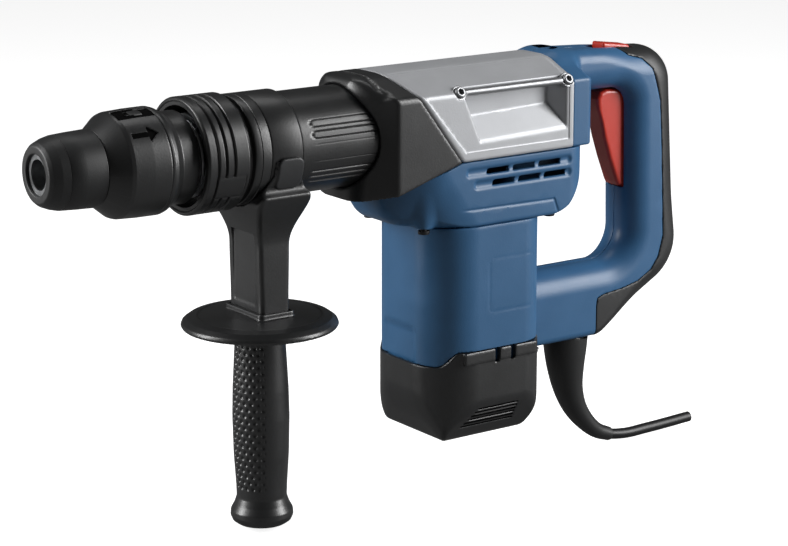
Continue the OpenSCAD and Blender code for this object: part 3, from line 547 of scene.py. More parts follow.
def front_band():
    profile = rounded_profile([
        (124.55, 29.05), (124.55, 33.2, 0.7), (125.6, 33.6), (128.8, 33.6), (129.1, 33.2), (129.5, 33.2),
        (129.8, 33.6), (135.7, 33.6, 0.5), (135.7, 29.05)])
    return lathe("front_band_skin", profile, 192)


def barrel_carve(x, angle, r):
    depth = np.zeros_like(r)
    for centre in (186, 354):
        across = near_turn(angle, centre) * 31.5 * (-1 if centre == 354 else 1)
        for height in (-19.5, -12.5):
            slot_outline = np.abs(rect(x, across, 191.5, height, 25, 2.1, 1.8)) - 0.32
            depth = np.maximum(depth, 0.55 * inside(slot_outline, 0.3))
        for height in (10.5, 14.5, 18.5):
            depth = np.maximum(depth, 0.6 * inside(rect(x, across, 191.5, height, 25, 0.55, 0.5), 0.3))
        label = np.abs(rect(x, across, 192, -1.5, 24, 5.2, 1.2)) - 0.18
        depth = np.maximum(depth, 0.18 * inside(label, 0.25))
    return (r > 31) * (x > 160) * -depth


def barrel():
    outer = resample(rounded_profile([(222, 31.5), (159, 31.5, 0.8), (158, 30.9), (158, 29)]), 1.2 * FINE)
    bore = [(104, 22), (130, 22), (130, 21.05), (140, 21.05), (142, 27), (203, 27), (205, 21.05), (222, 21.05)]
    profile = bore + outer + [(124.5, 29), (124.5, 31), (120.6, 31), (120.6, 25), (104, 25)]
    return lathe("barrel_skin", profile[::-1], 560, carve=barrel_carve, sharp_deg=38)


def clamp_band():
    profile = rounded_profile([
        (136, 29.05), (136, 33.2, 0.6), (137, 33.6), (156.8, 33.6, 0.4), (157.6, 33.0), (157.6, 29.05)])
    return lathe("clamp_band_skin", profile, 192)


def grip_carve(z, angle, r):
    turn = near_turn(angle, 180)
    row = np.round((z + 215) / 3.9)
    across = turn * 16.8 - (row % 2) * 2.25
    column = np.round(across / 4.5)
    d = np.hypot(across - column * 4.5, (z + 215) - row * 3.9)
    panel = (np.abs(turn) < math.radians(66)) & (z > -213) & (z < -113) & (r > 14)
    return -0.75 * inside(d - 1.05, 0.45) * panel


def side_grip():
    outer = resample(rounded_profile([
        (-107.8, 13.6), (-107.8, 14.8, 0.6), (-110, 15.1, 2), (-122, 15.7, 8), (-150, 17.2, 12), (-168, 17.6, 12),
        (-192, 17, 12), (-212, 15.7, 6), (-219, 15.5, 4), (-223.5, 17, 4), (-227.6, 19.2, 2.5),
        (-231, 19.5, 2), (-234, 18.2, 2)]),
        0.6 * FINE)
    profile = outer + rounded_profile([(-234, 18.2), (-236, 15.5, 1.5), (-236, 4)]) + [
        (-235.2, 0.2), (-153, 0.2), (-153, 4.05), (-124, 4.05), (-124, 9.2), (-107.8, 9.2)]
    return lathe("side_grip_skin", profile, 240, carve=grip_carve, axis="z", at=(POST_X, 0, 0), sharp_deg=38)


def joined(name, objects):
    """One mesh from several, with their places kept."""
    vertices, faces, base = [], [], 0
    for obj in objects:
        vertices += [tuple(v.co / MM) for v in obj.data.vertices]
        faces += [tuple(base + i for i in f.vertices) for f in obj.data.polygons]
        base = len(vertices)
        bpy.data.objects.remove(obj)
    return new_mesh(name, vertices, faces, 38)


def body_screws():
    profile = rounded_profile([(-57.9, 0.05), (-59.9, 0.05), (-59.9, 1.7), (-61.9, 1.9), (-62.3, 2.4),
                               (-62.3, 3.6, 0.5), (-60.1, 3.8, 0.3), (-60.1, 2), (-44.6, 2),
                               (-44.2, 1.5), (-44.2, 0.05)])
    return joined("body_screws_skin", [lathe(f"screw_{i}", profile, 48, axis="z", at=(x, y, 0))
                                       for i, (x, y) in enumerate(SCREWS_BELOW)])


def trigger_pin():
    profile = rounded_profile([(-10.4, 0.05), (-10.4, 1.8, 0.4), (10.4, 1.8, 0.4), (10.4, 0.05)])
    pin = lathe("trigger_pin_skin", profile, 40)
    for v in pin.data.vertices:
        v.co = Vector((-v.co.y + TRIGGER_PIVOT[0] * MM, v.co.x, v.co.z + TRIGGER_PIVOT[1] * MM))
    return pin


# ---------------------------------------------------------------- swept parts

def curve_points(points, count):
    """Evenly spaced points and radii on a smooth curve through (x, z, radius) points."""
    p = np.array(points, float)
    reach = np.concatenate([[0], np.cumsum(np.hypot(*np.diff(p[:, :2], axis=0).T))])
    t = np.linspace(0, reach[-1], count)
    out = []
    for axis in range(p.shape[1]):
        slope = np.gradient(p[:, axis], reach)
        k = np.clip(np.searchsorted(reach, t, side="right") - 1, 0, len(reach) - 2)
        h = reach[k + 1] - reach[k]
        s = (t - reach[k]) / h
        out.append((2 * s ** 3 - 3 * s ** 2 + 1) * p[k, axis] + (s ** 3 - 2 * s ** 2 + s) * h * slope[k]
                   + (-2 * s ** 3 + 3 * s ** 2) * p[k + 1, axis] + (s ** 3 - s ** 2) * h * slope[k + 1])
    return np.stack(out, 1)


def sweep(name, rows, sides=40):
    """Closed tube in the XZ plane through rows of (x, z, radius)."""
    centre = rows[:, :2]
    ahead = np.gradient(centre, axis=0)
    ahead /= np.linalg.norm(ahead, axis=1, keepdims=True)
    angle = np.linspace(0, 2 * math.pi, sides, endpoint=False)
    rings = []
    for (x, z, r), (ax, az) in zip(rows, ahead):
        rings.append(np.stack([x - az * r * np.cos(angle), r * np.sin(angle), z + ax * r * np.cos(angle)], 1))
    vertices = np.concatenate(rings + [[[rows[0, 0], 0, rows[0, 1]]], [[rows[-1, 0], 0, rows[-1, 1]]]])
    faces = []
    for i in range(len(rows) - 1):
        for j in range(sides):
            k = (j + 1) % sides
            faces.append((i * sides + j, i * sides + k, (i + 1) * sides + k, (i + 1) * sides + j))
    first, last = len(vertices) - 2, len(vertices) - 1
    base = (len(rows) - 1) * sides
    for j in range(sides):
        k = (j + 1) % sides
        faces.append((first, k, j))
        faces.append((last, base + j, base + k))
    return new_mesh(name, vertices, faces, 50)


BOOT_PATH = [(387.5, -155.2, 15.2), (387.6, -162, 14.6), (388.2, -177, 12.6), (390.6, -192, 10.2), (396.3, -206, 8.2),
             (405, -217.5, 6.6), (417, -227.4, 5.3), (427, -231.4, 4.7)]


def cable_boot():
    body = curve_points(BOOT_PATH, 60)
    neck = np.array([(388, -146, 9.2), (388, -154.2, 9.2), (388, -154.3, 14.4), (387.7, -154.9, 15.1)])
    tip = np.array([body[-1] + (0.25, 0.04, -0.35)])
    return sweep("cable_boot_skin", np.concatenate([neck, body, tip]))


def power_cable():
    path = [(x, z, 3.6) for x, z, _ in BOOT_PATH[4:]] + [(440, -233.6, 3.6), (462, -233.6, 3.6), (500, -232.4, 3.6)]
    return sweep("power_cable_skin", curve_points(path, 70), 28)


# ---------------------------------------------------------------- body shells

def belt(u, v, circles):
    """Distance to a taut belt round circles (u, v, r), listed anticlockwise."""
    normals = []
    for (u0, v0, r0), (u1, v1, r1) in zip(circles, circles[1:] + circles[:1]):
        turn = math.atan2(v1 - v0, u1 - u0) - math.acos((r0 - r1) / math.hypot(u1 - u0, v1 - v0))
        normals.append((math.cos(turn), math.sin(turn)))
    d = None
    for (cu, cv, r), (nu, nv) in zip(circles, normals):
        side = nu * (u - cu) + nv * (v - cv) - r
        d = side if d is None else np.maximum(d, side)
    for i, (cu, cv, r) in enumerate(circles):
        (au, av), (bu, bv) = normals[i - 1], normals[i]
        du, dv = u - cu, v - cv
        corner = (au * dv - av * du >= 0) & (du * bv - dv * bu >= 0)
        d = np.where(corner, np.hypot(du, dv) - r, d)
    return d


def section(y, z):
    """Cross-section of the upper body: flat sides, bevelled shoulders and a flat top."""
    a = np.abs(y)
    bevel = ((a - 14) * 12 + (z - 38) * 28) / math.hypot(12, 28)
    return fillet_cut(fillet_cut(a - 42, bevel, 3), z - 38, 2.5)


def disc(u, v, cu, cv, r):
    return np.hypot(u - cu, v - cv) - r


MOTOR_PLAN = [(319, -22, 20), (319, 22, 20), (283, 12, 30), (283, -12, 30)]
CRANK_X, MOTOR_X = 260.5, 298
SHROUD_PLAN = [(354, -24, 18), (354, 24, 18), (256, 8, 34), (256, -8, 34)]
SCREWS_BELOW = [(249, -29), (249, 29), (345, -33), (345, 33)]
ROD_Y, ROD_Z = 38.4, 25     # axis of the guard rods
ROD_ENDS = (268, 353)


def seam(x, z, shift=0.0):
    """Slanted joint between housing and cover: positive behind it."""
    return ((x - 227 - shift) * 56 - (38 - z) * 42) / math.hypot(56, 42)


def low_line(x, z):
    """Slanted lower edge of the housing: positive below it."""
    return line(x, z, (200, -40), (269, -18))


def shroud_outer(p):
    x, y, z = p
    a = np.abs(y)
    low = convex(x, z, [(222, 20, 0), (222, -43, 5), (231, -56.5, 5), (247, -60, 4), (350, -60, 6), (366, -46, 8),
                        (372, -30, 8), (372, 20, 0)])
    chin = -0.481 * (x - 247) + 0.815 * (a - 42) - 0.326 * (z + 26)
    return fillet_cut(fillet_cut(belt(x, y, SHROUD_PLAN), low, 2.5), chin, 7)


def gear_housing_field(p):
    x, y, z = p
    a = np.abs(y)
    front = 203.4 - x
    facet = -0.788 * (x - 220.6) + 0.616 * (a - 42)
    d = fillet_cut(section(y, z), front, 7)
    d = fillet_cut(d, facet, 6 - 4.8 * smooth(33, 40, a))
    d = cut(d, np.maximum(np.abs(x - 215) - 1.5, -(section(y, z) + 1.1)), 0.7)
    d = fillet_cut(d, seam(x, z), 0.6)
    d = fillet_cut(d, low_line(x, z), 0.6)
    room = np.maximum(section(y, z) + 4, slab(x, 222.5, 262))
    room = np.maximum(np.maximum(room, seam(x, z) + 4), low_line(x, z) + 4)
    d = np.maximum(d, -room)
    r = np.hypot(y, z)
    d = np.minimum(d, np.maximum(r - 25, slab(x, 214, 236)))
    d = np.minimum(d, block(p, (259.5, 0, -1.5), (25.5, 23, 20.5), 1))
    crank = np.hypot(x - CRANK_X, y)
    motor = np.hypot(x - MOTOR_X, y)
    case = np.minimum(np.minimum(crank - 35.3, motor - 17), np.maximum(a - 17, slab(x, CRANK_X, MOTOR_X)))
    case = np.maximum(np.maximum(case, slab(z, -50, -18)), shroud_outer(p) + 3.4)
    d = np.minimum(d, case)
    d = cut(d, np.maximum(r - 31.6, x - 222.05), 2.2)
    d = np.maximum(d, -np.maximum(r - 21.05, x - 237))
    d = np.maximum(d, -block(p, (259.25, 0, 11.2), (22.75, 20, 28.8), 2))
    d = np.maximum(d, -np.maximum(crank - 13, slab(z, -26, -16)))
    d = np.maximum(d, -np.maximum(crank - 33.2, slab(z, -38, -27)))
    d = np.maximum(d, -np.maximum(crank - 10, slab(z, -28, -25)))
    d = np.maximum(d, -np.maximum(crank - 12, slab(z, -52, -39)))
    d = np.maximum(d, -np.maximum(motor - 8.6, slab(z, -38, -27)))
    d = np.maximum(d, -np.maximum(motor - 11, slab(z, -52, -41)))
    return np.maximum(d, -np.maximum(motor - 7.7, slab(z, -52, -37)))


def screw_axes(p):
    """Positions along and across the tilted axes of the cover screws."""
    a, z = np.abs(p[1]) - ROD_Y, p[2] - ROD_Z
    c, s = math.cos(math.radians(60)), math.sin(math.radians(60))
    return a * s + z * c, z * s - a * c


def end_axis(p, end, r, low, high):
    """Round bar on the screw axis of one end of a guard rod."""
    along, across = screw_axes(p)
    return np.maximum(np.hypot(p[0] - end, across) - r, slab(along, low, high))


def top_cover_field(p):
    x, y, z = p
    a = np.abs(y)
    s = section(y, z)
    d = fillet_cut(s, -seam(x, z, 0.35), 2.6)
    d = fillet_cut(d, x - 357, 0.8)
    d = fillet_cut(d, -17.9 - z, 1.6)
    room = np.maximum(np.maximum(s + 2.5, -seam(x, z, 6)), x - 354.5)
    opening = np.maximum(np.maximum(line(x, z, (270.5, 24), (283.8, -7)), z - 23), x - 352 + (42 - a) * 0.6)
    floor = ((-7 - z) + (42 - a) * 1.3 + (x - 283.5) * 0.03) * 0.62
    pocket = np.maximum(np.maximum(opening, floor), 30 - a)
    behind = np.maximum(np.maximum(opening, floor) - 2.5, 27.5 - a)
    room = np.maximum(room, -behind)
    d = np.maximum(d, -room)
    d = np.maximum(d, -np.maximum(block(p, (250, 0, -4), (36, 26, 26.3), 0.5), slab(x, 200, 286)))
    crease = line(x, z, (238, 28.8), (271.8, -11.5))
    panel = np.maximum(np.maximum(crease, -12 - z), np.maximum(x - 353.5, z - 36.8))
    d = cut(d, np.maximum(panel, -(s + 0.55)), 0.35)
    d = cut(d, pocket, 1.1)
    d = cut(d, np.maximum(np.maximum(rect(x, z, 310.5, 25, 40, 2.7, 1), 35.7 - a), a - 60), 0.5)
    for end in ROD_ENDS:
        d = cut(d, end_axis(p, end, 3.9, -12, 14), 0.5)
    return d


def guard_rods_field(p):
    x, y, z = p
    a = np.abs(y)
    rod = np.hypot(a - ROD_Y, z - ROD_Z) - 2.3
    d = np.maximum(rod, slab(x, 272, 349))
    for end in ROD_ENDS:
        eye = fillet_cut(end_axis(p, end, 4.9, -2.4, 1.4), end_axis(p, end, 9, -2.4, 1.4), 0.5)
        d = fillet_join(d, eye, 1.2)
        d = np.maximum(d, -end_axis(p, end, 3.7, -8, 8))
    return d


def cover_screws_field(p):
    x = p[0]
    along, across = screw_axes(p)
    d = None
    for end in ROD_ENDS:
        r = np.hypot(x - end, across)
        one = fillet_cut(r - 3.55, slab(along, -10, 3.4), 0.9)
        hexagon = np.maximum(np.abs(x - end), np.abs(x - end) * 0.5 + np.abs(across) * 0.866) - 1.8
        one = np.maximum(one, -np.maximum(hexagon, 1 - along))
        d = one if d is None else np.minimum(d, one)
    return d


def body_shroud_field(p):
    x, y, z = p
    a = np.abs(y)
    outer = shroud_outer(p)
    inner = outer + 3
    d = outer
    for sx, sy in SCREWS_BELOW[:2]:
        boss = fillet_cut(disc(x, y, sx, sy, 4.4), slab(z, -59.4, -36), 1)
        d = fillet_join(d, boss, 5)
    for row_z, x0 in ((-25.2, 275), (-33.4, 281)):
        d = cut(d, stick([x, a - 1.8, z], (x0, 42, row_z), (353, 42, row_z), 3.3), 0.8)
    d = cut(d, stick([x, a - 0.3, z], (264.5, 42, -48.4), (342, 42, -49.6), 1.0), 0.4)
    d = cut(d, stick([x, a - 0.3, z], (342, 42, -49.6), (345.2, 42, -58), 1.0), 0.4)
    d = fillet_cut(d, z + 18.35, 0.5)
    d = fillet_cut(d, line(x, z, (269.2, -18.4), (200, -40.46)), 0.5)
    d = np.maximum(d, -np.maximum(inner, -57.2 - z))
    d = np.maximum(d, -np.maximum(belt(x, y, MOTOR_PLAN) + 8, slab(z, -64, -50)))
    for x0, z0 in ((289, -25.6), (293.5, -33.2)):
        for k in range(3):
            lean = x - (z - z0) * 0.25
            slot = rect(lean, z, x0 + 8.5 + 20.5 * k, z0, 8.5, 1.75, 0.5)
            d = cut(d, np.maximum(slot, 36 - a), 0.35)
    for sx, sy in SCREWS_BELOW:
        d = np.maximum(d, -np.maximum(disc(x, y, sx, sy, 2.05), slab(z, -64, -40)))
        d = cut(d, np.maximum(disc(x, y, sx, sy, 4.3), z + 58.6), 0.4)
    return d


def cap_top(x, z):
    """Signed height above the joint line, sloping down to the front."""
    level = -140 - 9.6 * smooth(270, 258.5, x)
    return z - level


def motor_housing_field(p):
    x, y, z = p
    plan = belt(x, y, MOTOR_PLAN)
    d = fillet_cut(plan, z + 60.1, 0.8)
    hollow = block(p, (251.6, 4, -143), (3.4, 19, 17), 6)
    d = cut(d, hollow, 3)
    for side in (-1, 1):
        panel = np.maximum(np.abs(rect(x, z, 309, -99, 18, 17, 3)) - 0.25, -(plan + 0.25))
        d = cut(d, np.maximum(panel, -side * y), 0.15)
    d = fillet_cut(d, 0.15 - cap_top(x, z), 0.5)
    d = np.maximum(d, -np.maximum(plan + 3, -137 - z))
    skirt = np.maximum(plan + 2.5, slab(z, -177, -137.5))
    motor = np.hypot(x - MOTOR_X, y)
    room = np.maximum(plan + 5.4, -179 - z)
    seat = np.maximum(motor - 14, z + 168)
    skirt = np.maximum(skirt, -np.maximum(room, -seat))
    skirt = np.maximum(skirt, -np.maximum(motor - 11, slab(z, -178, -160)))
    skirt = np.maximum(skirt, -np.maximum(motor - 6, z + 160))
    skirt = np.maximum(skirt, -np.maximum(slab(x, 268, 322), z + 170))
    return np.minimum(d, skirt)


def end_cap_field(p):
    x, y, z = p
    a = np.abs(y)
    plan = belt(x, y, MOTOR_PLAN) - 1
    d = fillet_cut(plan, -0.894 * (x - 252) - 0.447 * (z + 177), 5)
    d = fillet_cut(d, 0.866 * (x - 340) - 0.5 * (z + 178), 5)
    d = fillet_cut(d, 0.883 * (a - 43) - 0.469 * (z + 176.5), 2.5)
    d = fillet_cut(d, -200 - z, 4)
    room = np.maximum(d + 2.4, -182.2 - z)
    for x0, x1 in ((271.5, 295), (299, 307.6), (311.2, 328)):
        bump = np.maximum(rect(x, z, (x0 + x1) / 2, -143.8, (x1 - x0) / 2, 4, 0.8), a - 44)
        d = fillet_join(d, fillet_cut(bump, a - 43.9, 0.6), 0.3)
    for x0 in (297, 309.4):
        d = cut(d, np.maximum(rect(x, z, x0, -142.6, 1.7, 6.2, 0.4), 39.5 - a), 0.3)
    gusset = convex(x, z, [(336, -176, 0), (340, -176, 4), (351, -161, 4), (353, -154.6, 1), (336, -154.6, 0)])
    d = fillet_join(d, fillet_cut(gusset, a - 17, 2), 2)
    d = fillet_cut(d, cap_top(x, z) + 0.15, 0.5)
    d = np.maximum(d, -room)
    d = np.maximum(d, -np.maximum(belt(x, y, MOTOR_PLAN) + 18, slab(z, -196, -176)))
    for k in range(6):
        z0 = -178.2 - 2.35 * k
        slot = rect(x, z, (315 + 283 - 2 * k) / 2, z0, (315 - 283 + 2 * k) / 2, 0.62, 0.3)
        d = cut(d, np.maximum(slot, 24 - a), 0.2)
    return d


# ---------------------------------------------------------------- D-handle

TRIGGER_PIVOT = (433, -60)
HANDLE_OUTER = [(348.6, -146, 8), (396, -132, 22), (438, -94, 35), (441, 10, 25), (365, 31, 8)]
HANDLE_OPENING = [(384, -96, 10), (408, -86, 20), (414, -3, 12), (384, -1, 10)]
RUBBER_EDGE = [(417.5, 42), (418, 37), (425, 31), (436, 28), (443, 21), (447, 9), (450, -1), (452, -28), (454, -69),
               (455, -93), (451, -107), (445, -115), (434, -121), (421, -124), (404, -126), (399, -128), (398, -133),
               (398, -175), (500, -175), (500, 60), (417.5, 60)]
HANDLE_SCREWS = [(366, 22), (449, 12), (452, -96), (398, -130), (358, -130)]


def grip_solid(p):
    """The D-handle as one solid: rounded round its opening, with the wide root behind the cover."""
    x, y, z = p
    a = np.abs(y)
    outline = belt(x, z, HANDLE_OUTER)
    foot = rect(x, z, 355, -125, 14.5, 19, 1)
    outline = np.minimum(outline, foot)
    opening = np.minimum(belt(x, z, HANDLE_OPENING), rect(x, z, 342, -62, 42, 44, 0.5))
    edge = 5 + 4 * smooth(-110, -60, z) + 9.5 * smooth(400, 440, x)
    d = fillet_cut(outline, a - 19, edge)
    d = fillet_cut(d, 340.5 - x, 1)
    d = fillet_cut(d, -opening, 16.5)
    d = np.maximum(d, -np.maximum(x - 357.4, -30 - z))
    s = section(y, z) + 1.4
    root = fillet_cut(fillet_cut(s, x - 374, 4.5), -18.1 - z, 1.5)
    root = fillet_cut(root, 357.5 - x, 0.8)
    return fillet_join(d, root, 9)


def rubber_zone(x, z):
    return polygon(x, z, RUBBER_EDGE)


def handle_half_field(side):
    """Field of one shell of the handle: side 1 is the +Y half, -1 the other."""
    def field(p):
        x, y, z = p
        a = np.abs(y)
        solid = grip_solid(p)
        zone = rubber_zone(x, z)
        core = solid + 3.2
        d = cut(solid, np.maximum(zone, -core), 0.4)
        boss = None
        for sx, sz in HANDLE_SCREWS:
            one = disc(x, z, sx, sz, 4.6)
            boss = one if boss is None else np.minimum(boss, one)
        room = np.maximum(np.maximum(solid + 4, a - 13), -np.maximum(boss, -9))
        room = np.maximum(room, np.where(zone < 3, core + 3, -9))
        d = np.maximum(d, -room)
        d = cut(d, block(p, (415.5, 0, -23.3), (25.5, 8.1, 35.3), 1.5), 0.8)
        d = np.maximum(d, -block(p, (437, 0, -58), (8, 8.1, 8.4), 1))
        d = cut(d, block(p, (419.5, 0, 39), (17.6, 6.5, 11), 1), 0.6)
        d = np.maximum(d, -np.maximum(disc(x, y, 388, 0, 9.7), slab(z, -170, -141)))
        d = np.maximum(d, -np.maximum(disc(x, z, *TRIGGER_PIVOT, 1.85), a - 11))
        if side > 0:
            for sx, sz in HANDLE_SCREWS:
                d = cut(d, np.maximum(disc(x, z, sx, sz, 4.2), 10.5 - a), 0.5)
        for sx, sz in HANDLE_SCREWS:
            d = np.maximum(d, -np.maximum(disc(x, z, sx, sz, 2.05), a - 11))
        return fillet_cut(d, 0.08 - side * y, 0.45)
    return field


def soft_grip_field(p):
    x, _, z = p
    solid = grip_solid(p)
    d = fillet_cut(solid - 0.35, rubber_zone(x, z) + 0.3, 0.7)
    d = np.maximum(d, -solid - 3.1)
    return cut(d, block(p, (419.5, 0, 39), (17, 6.6, 11), 1), 0.5)


TRIGGER_SIDE = [(413, 8.5), (408.4, 6.8), (405.9, 2.6), (406.8, -6), (410, -17), (417.2, -38), (423.8, -54.4),
                (425.4, -57.2), (429.8, -58), (430.4, -64), (435, -64.4), (436.6, -58), (433, -44), (431.5, -20),
                (431, 0), (428, 5.6), (422, 8.2)]


def trigger_field(p):
    x, y, z = p
    a = np.abs(y)
    outline = polygon(x, z, TRIGGER_SIDE)
    d = fillet_cut(outline, a - 7.6, 2.4)
    finger = np.hypot(x - 372, z + 24) - 39.0
    d = cut(d, np.maximum(finger, a - 20), 2)
    d = np.maximum(d, -np.maximum(np.maximum(outline + 2.2, a - 5.6), 424 - x))
    return np.maximum(d, -disc(x, z, *TRIGGER_PIVOT, 1.85))


def lock_slider_field(p):
    x, y, z = p
    a = np.abs(y)
    top = line(x, z, (433.5, 36.4), (410.5, 39.6))
    d = fillet_cut(fillet_cut(slab(x, 410.6, 433.4), a - 6, 1.5), top, 1.6)
    d = np.maximum(d, 30 - z)
    for k in range(5):
        d = cut(d, np.maximum(disc(x, z, 414.5 + 2.6 * k, 39.9 - 0.37 * k, 1.05), a - 4.6), 0.3)
    return d


# ---------------------------------------------------------------- side handle

def tab_outline(x, z):
    """Outline of the grey tab on each side of the clamp."""
    return rect(x, z, 148, -11.5, 8.8, 9.8, 4.5)


def handle_post_field(p):
    x, y, z = p
    a = np.abs(y)
    r = np.hypot(y, z)
    half_w = 18.3 + 17.3 * smooth(-58, -14, z)
    flare = 7.4 * smooth(-62, -27, z) ** 1.3 * (1 - smooth(-30, -10, z))
    half_l = 10.4 + 0.6 * smooth(-95, -60, z) - 1.2 * smooth(-30, -12, z) + flare
    d = fillet_cut((a - half_w) * 0.86, (np.abs(x - POST_X) - half_l) * 0.92, 2.6)
    d = np.maximum(d, -100 - z)
    d = fillet_cut(d, z + 3, 1.2)
    d = fillet_cut(d, r - 35.2 - 90 * smooth(-19, -58, z), 1.5)
    wide = np.maximum(r - 34.1, slab(x, 100, 200))
    d = cut(d, wide, 0.6)
    face = np.maximum(rect(y, z, 0, -70, 12.5, 25, 2), np.abs(np.abs(x - POST_X) - 11) - 1.0)
    d = cut(d, face, 0.5)
    tongue = fillet_cut(slab(r, 33.75, 36.4), tab_outline(x, z), 0.9)
    d = np.minimum(d, tongue)
    shaft = np.hypot(x - POST_X, y)
    d = np.maximum(d, -np.maximum(r - 33.7, slab(x, 135.9, 157.7)))
    d = np.maximum(d, -np.maximum(shaft - 4.05, z + 30))
    return np.maximum(d, -np.maximum(shaft - 7.6, slab(z, -42, -30)))


GUARD_SIDE = [(0, -101.6), (22, -102.6), (37.4, -104.3), (38.4, -103.9), (44, -105.2), (47.3, -107.6), (48, -109.4),
              (47.2, -110.7), (44, -109.6), (37.6, -107.9), (24, -106.7), (15.4, -107.5), (0, -107.5)]


def hand_guard_field(p):
    x, y, z = p
    r = np.hypot(x - POST_X, y)
    d = polygon(r, z, GUARD_SIDE) - 0.15
    hub = fillet_cut(rect(x, y, POST_X, 0, 12.6, 20.6, 3), slab(z, -105, -99), 0.8)
    d = fillet_join(d, hub, 1.2)
    d = np.maximum(d, -np.maximum(rect(x, y, POST_X, 0, 10.75, 18.65, 0.5), -100.05 - z))
    return np.maximum(d, -(r - 4.05))


# ---------------------------------------------------------------- build

place(dust_cap(), "tool_holder", "dust_cap")
sleeve = place(locking_sleeve(), "locking_sleeve", "locking_sleeve", ENGRAVED)
ink(sleeve, sleeve_marks)
place(adjusting_ring(), "adjusting_ring", "adjusting_ring")
place(front_band(), "housing", "front_band")
place(barrel(), "housing", "barrel")
place(clamp_band(), "side_handle", "clamp_band")
place(side_grip(), "side_grip", "side_grip")
# The body screws get the steel painted dark: painted shade of the gap under the shroud skirt.
place(body_screws(), "housing", "body_screws").data.materials[0] = SHADE_PAINTED_STEEL
place(trigger_pin(), "housing", "trigger_pin")
place(cable_boot(), "housing", "cable_boot")
place(power_cable(), "housing", "power_cable")

MOULDED = [
    # name, body, field, low corner, high corner, grid step, share of faces kept
    ("gear_housing", "housing", gear_housing_field, (201, -44, -52), (318, 44, 40), 0.9, 0.35),
    ("top_cover", "housing", top_cover_field, (222, -44, -20), (360, 44, 40), 0.8, 0.35),
    ("guard_rods", "housing", guard_rods_field, (261, -44, 18), (360, 44, 32), 0.4, 0.4),
    ("cover_screws", "housing", cover_screws_field, (263, -46, 16), (358, 46, 32), 0.35, 0.5),
    ("body_shroud", "housing", body_shroud_field, (220, -44, -62), (374, 44, -16), 0.8, 0.35),
    ("motor_housing", "housing", motor_housing_field, (251, -44, -184), (341, 44, -58), 0.9, 0.3),
    ("end_cap", "housing", end_cap_field, (250, -46, -202), (356, 46, -138), 0.7, 0.35),
    ("handle_left", "housing", handle_half_field(-1), (338, -43, -157), (476, 2, 40), 0.85, 0.35),
    ("handle_right", "housing", handle_half_field(1), (338, -2, -157), (476, 43, 40), 0.85, 0.35),
    ("soft_grip", "housing", soft_grip_field, (395, -21, -158), (476, 21, 40), 0.8, 0.35),
    ("trigger", "trigger", trigger_field, (403, -9, -68), (439, 9, 11), 0.6, 0.5),
    ("lock_slider", "lock_slider", lock_slider_field, (408, -8, 28), (436, 8, 44), 0.4, 0.6),
    ("handle_post", "side_handle", handle_post_field, (126, -39, -102), (168, 39, 1), 0.8, 0.4),
    ("hand_guard", "side_handle", hand_guard_field, (97, -50, -113), (197, 50, -97), 0.6, 0.35),
]
for node, body, field, low, high, step, keep in MOULDED:
    made = place(moulded(node + "_skin", field, low, high, step, keep), body, node)
    if node == "handle_post":
        made.data.materials.append(TAB_GREY)
        ink(made, lambda x, y, z: (np.hypot(y, z) > 35.6) & (tab_outline(x, z) < 0.3))


# ---------------------------------------------------------------- studio

TARGET = Vector((0.237, 0, -0.06))     # middle of the view


def area_light(name, direction, distance, size, power):
    lamp = bpy.data.lights.new(name, "AREA")
    lamp.shape = "RECTANGLE"
    lamp.size, lamp.size_y = size
    lamp.energy = power
    obj = bpy.data.objects.new(name, lamp)
    obj.location = TARGET + Vector(direction).normalized() * distance
    obj.rotation_euler = (TARGET - obj.location).to_track_quat("-Z", "Y").to_euler()
    bpy.context.scene.collection.objects.link(obj)


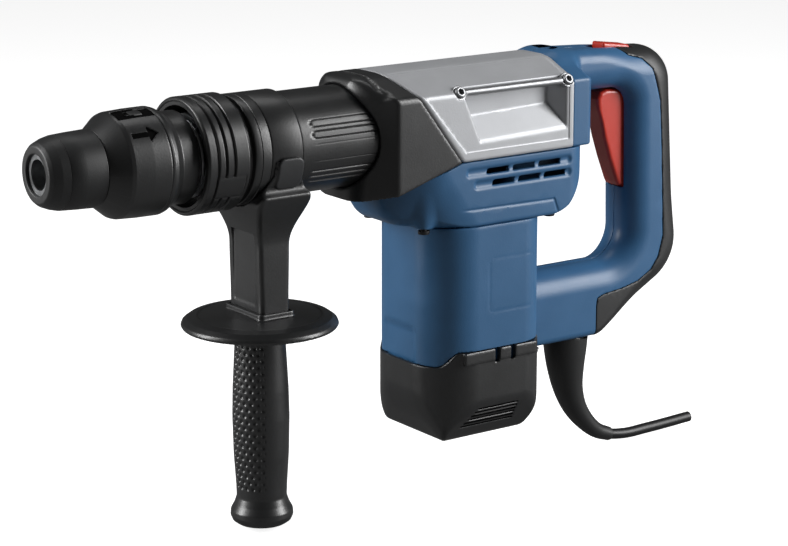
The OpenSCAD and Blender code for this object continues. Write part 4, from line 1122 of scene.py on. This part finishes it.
def floor_sheet(z):
    mesh = bpy.data.meshes.new("floor")
    half = 6.0
    mesh.from_pydata([(-half, -half, z), (half, -half, z), (half, half, z), (-half, half, z)], [], [(0, 1, 2, 3)])
    obj = bpy.data.objects.new("floor", mesh)
    bpy.context.scene.collection.objects.link(obj)
    mat = bpy.data.materials.new("floor_white")
    mat.use_nodes = True
    shader = mat.node_tree.nodes["Principled BSDF"]
    shader.inputs["Roughness"].default_value = 0.9
    to_camera = mat.node_tree.nodes.new("ShaderNodeLightPath")
    glow = mat.node_tree.nodes.new("ShaderNodeMath")
    glow.operation = "MULTIPLY"
    glow.inputs[1].default_value = 0.8
    mat.node_tree.links.new(to_camera.outputs["Is Camera Ray"], glow.inputs[0])
    mat.node_tree.links.new(glow.outputs["Value"], shader.inputs["Emission Strength"])
    tone = mat.node_tree.nodes.new("ShaderNodeMix")
    tone.data_type = "RGBA"
    tone.inputs["A"].default_value = (0.22, 0.22, 0.22, 1)
    tone.inputs["B"].default_value = (0.86, 0.86, 0.86, 1)
    mat.node_tree.links.new(to_camera.outputs["Is Camera Ray"], tone.inputs["Factor"])
    mat.node_tree.links.new(tone.outputs["Result"], shader.inputs["Base Color"])
    shader.inputs["Emission Color"].default_value = (1, 1, 1, 1)
    mesh.materials.append(mat)


FLOOR_Z = -0.2395     # lowest point of the CAD
floor_sheet(FLOOR_Z)
area_light("key_right", (0.74, -0.62, 0.36), 1.6, (0.55, 1.2), 27)
area_light("rim_left", (-0.86, 0.46, 0.36), 1.6, (0.5, 1.2), 24)
area_light("top_soft", (0.1, 0.35, 1.0), 1.5, (1.2, 0.3), 3)

world = bpy.data.worlds.new("studio")
bpy.context.scene.world = world
world.use_nodes = True
wn, wl = world.node_tree.nodes, world.node_tree.links
background = wn["Background"]
seen = wn.new("ShaderNodeLightPath")
level = wn.new("ShaderNodeMapRange")
level.inputs["To Min"].default_value = 0.05
level.inputs["To Max"].default_value = 1.0
wl.new(seen.outputs["Is Camera Ray"], level.inputs["Value"])
wl.new(level.outputs["Result"], background.inputs["Strength"])
background.inputs["Color"].default_value = (1, 1, 1, 1)


# ---------------------------------------------------------------- camera

TURN, LIFT = math.radians(35.31), math.radians(12.93)
FAR = 1.5656
forward = Vector((math.sin(TURN) * math.cos(LIFT), math.cos(TURN) * math.cos(LIFT), -math.sin(LIFT)))
rightward = Vector((math.cos(TURN), -math.sin(TURN), 0))
upward = rightward.cross(forward)
camera = bpy.data.cameras.new("camera")
camera.sensor_width = 36
camera.lens = 114.67
camera.shift_x = 0.0169
camera.shift_y = -0.0618
camera_object = bpy.data.objects.new("camera", camera)
turn = Matrix((rightward, upward, -forward)).transposed().to_4x4()
camera_object.matrix_world = Matrix.Translation(TARGET - forward * FAR) @ turn
bpy.context.scene.collection.objects.link(camera_object)
bpy.context.scene.camera = camera_object
bpy.context.scene.view_settings.view_transform = "Standard"
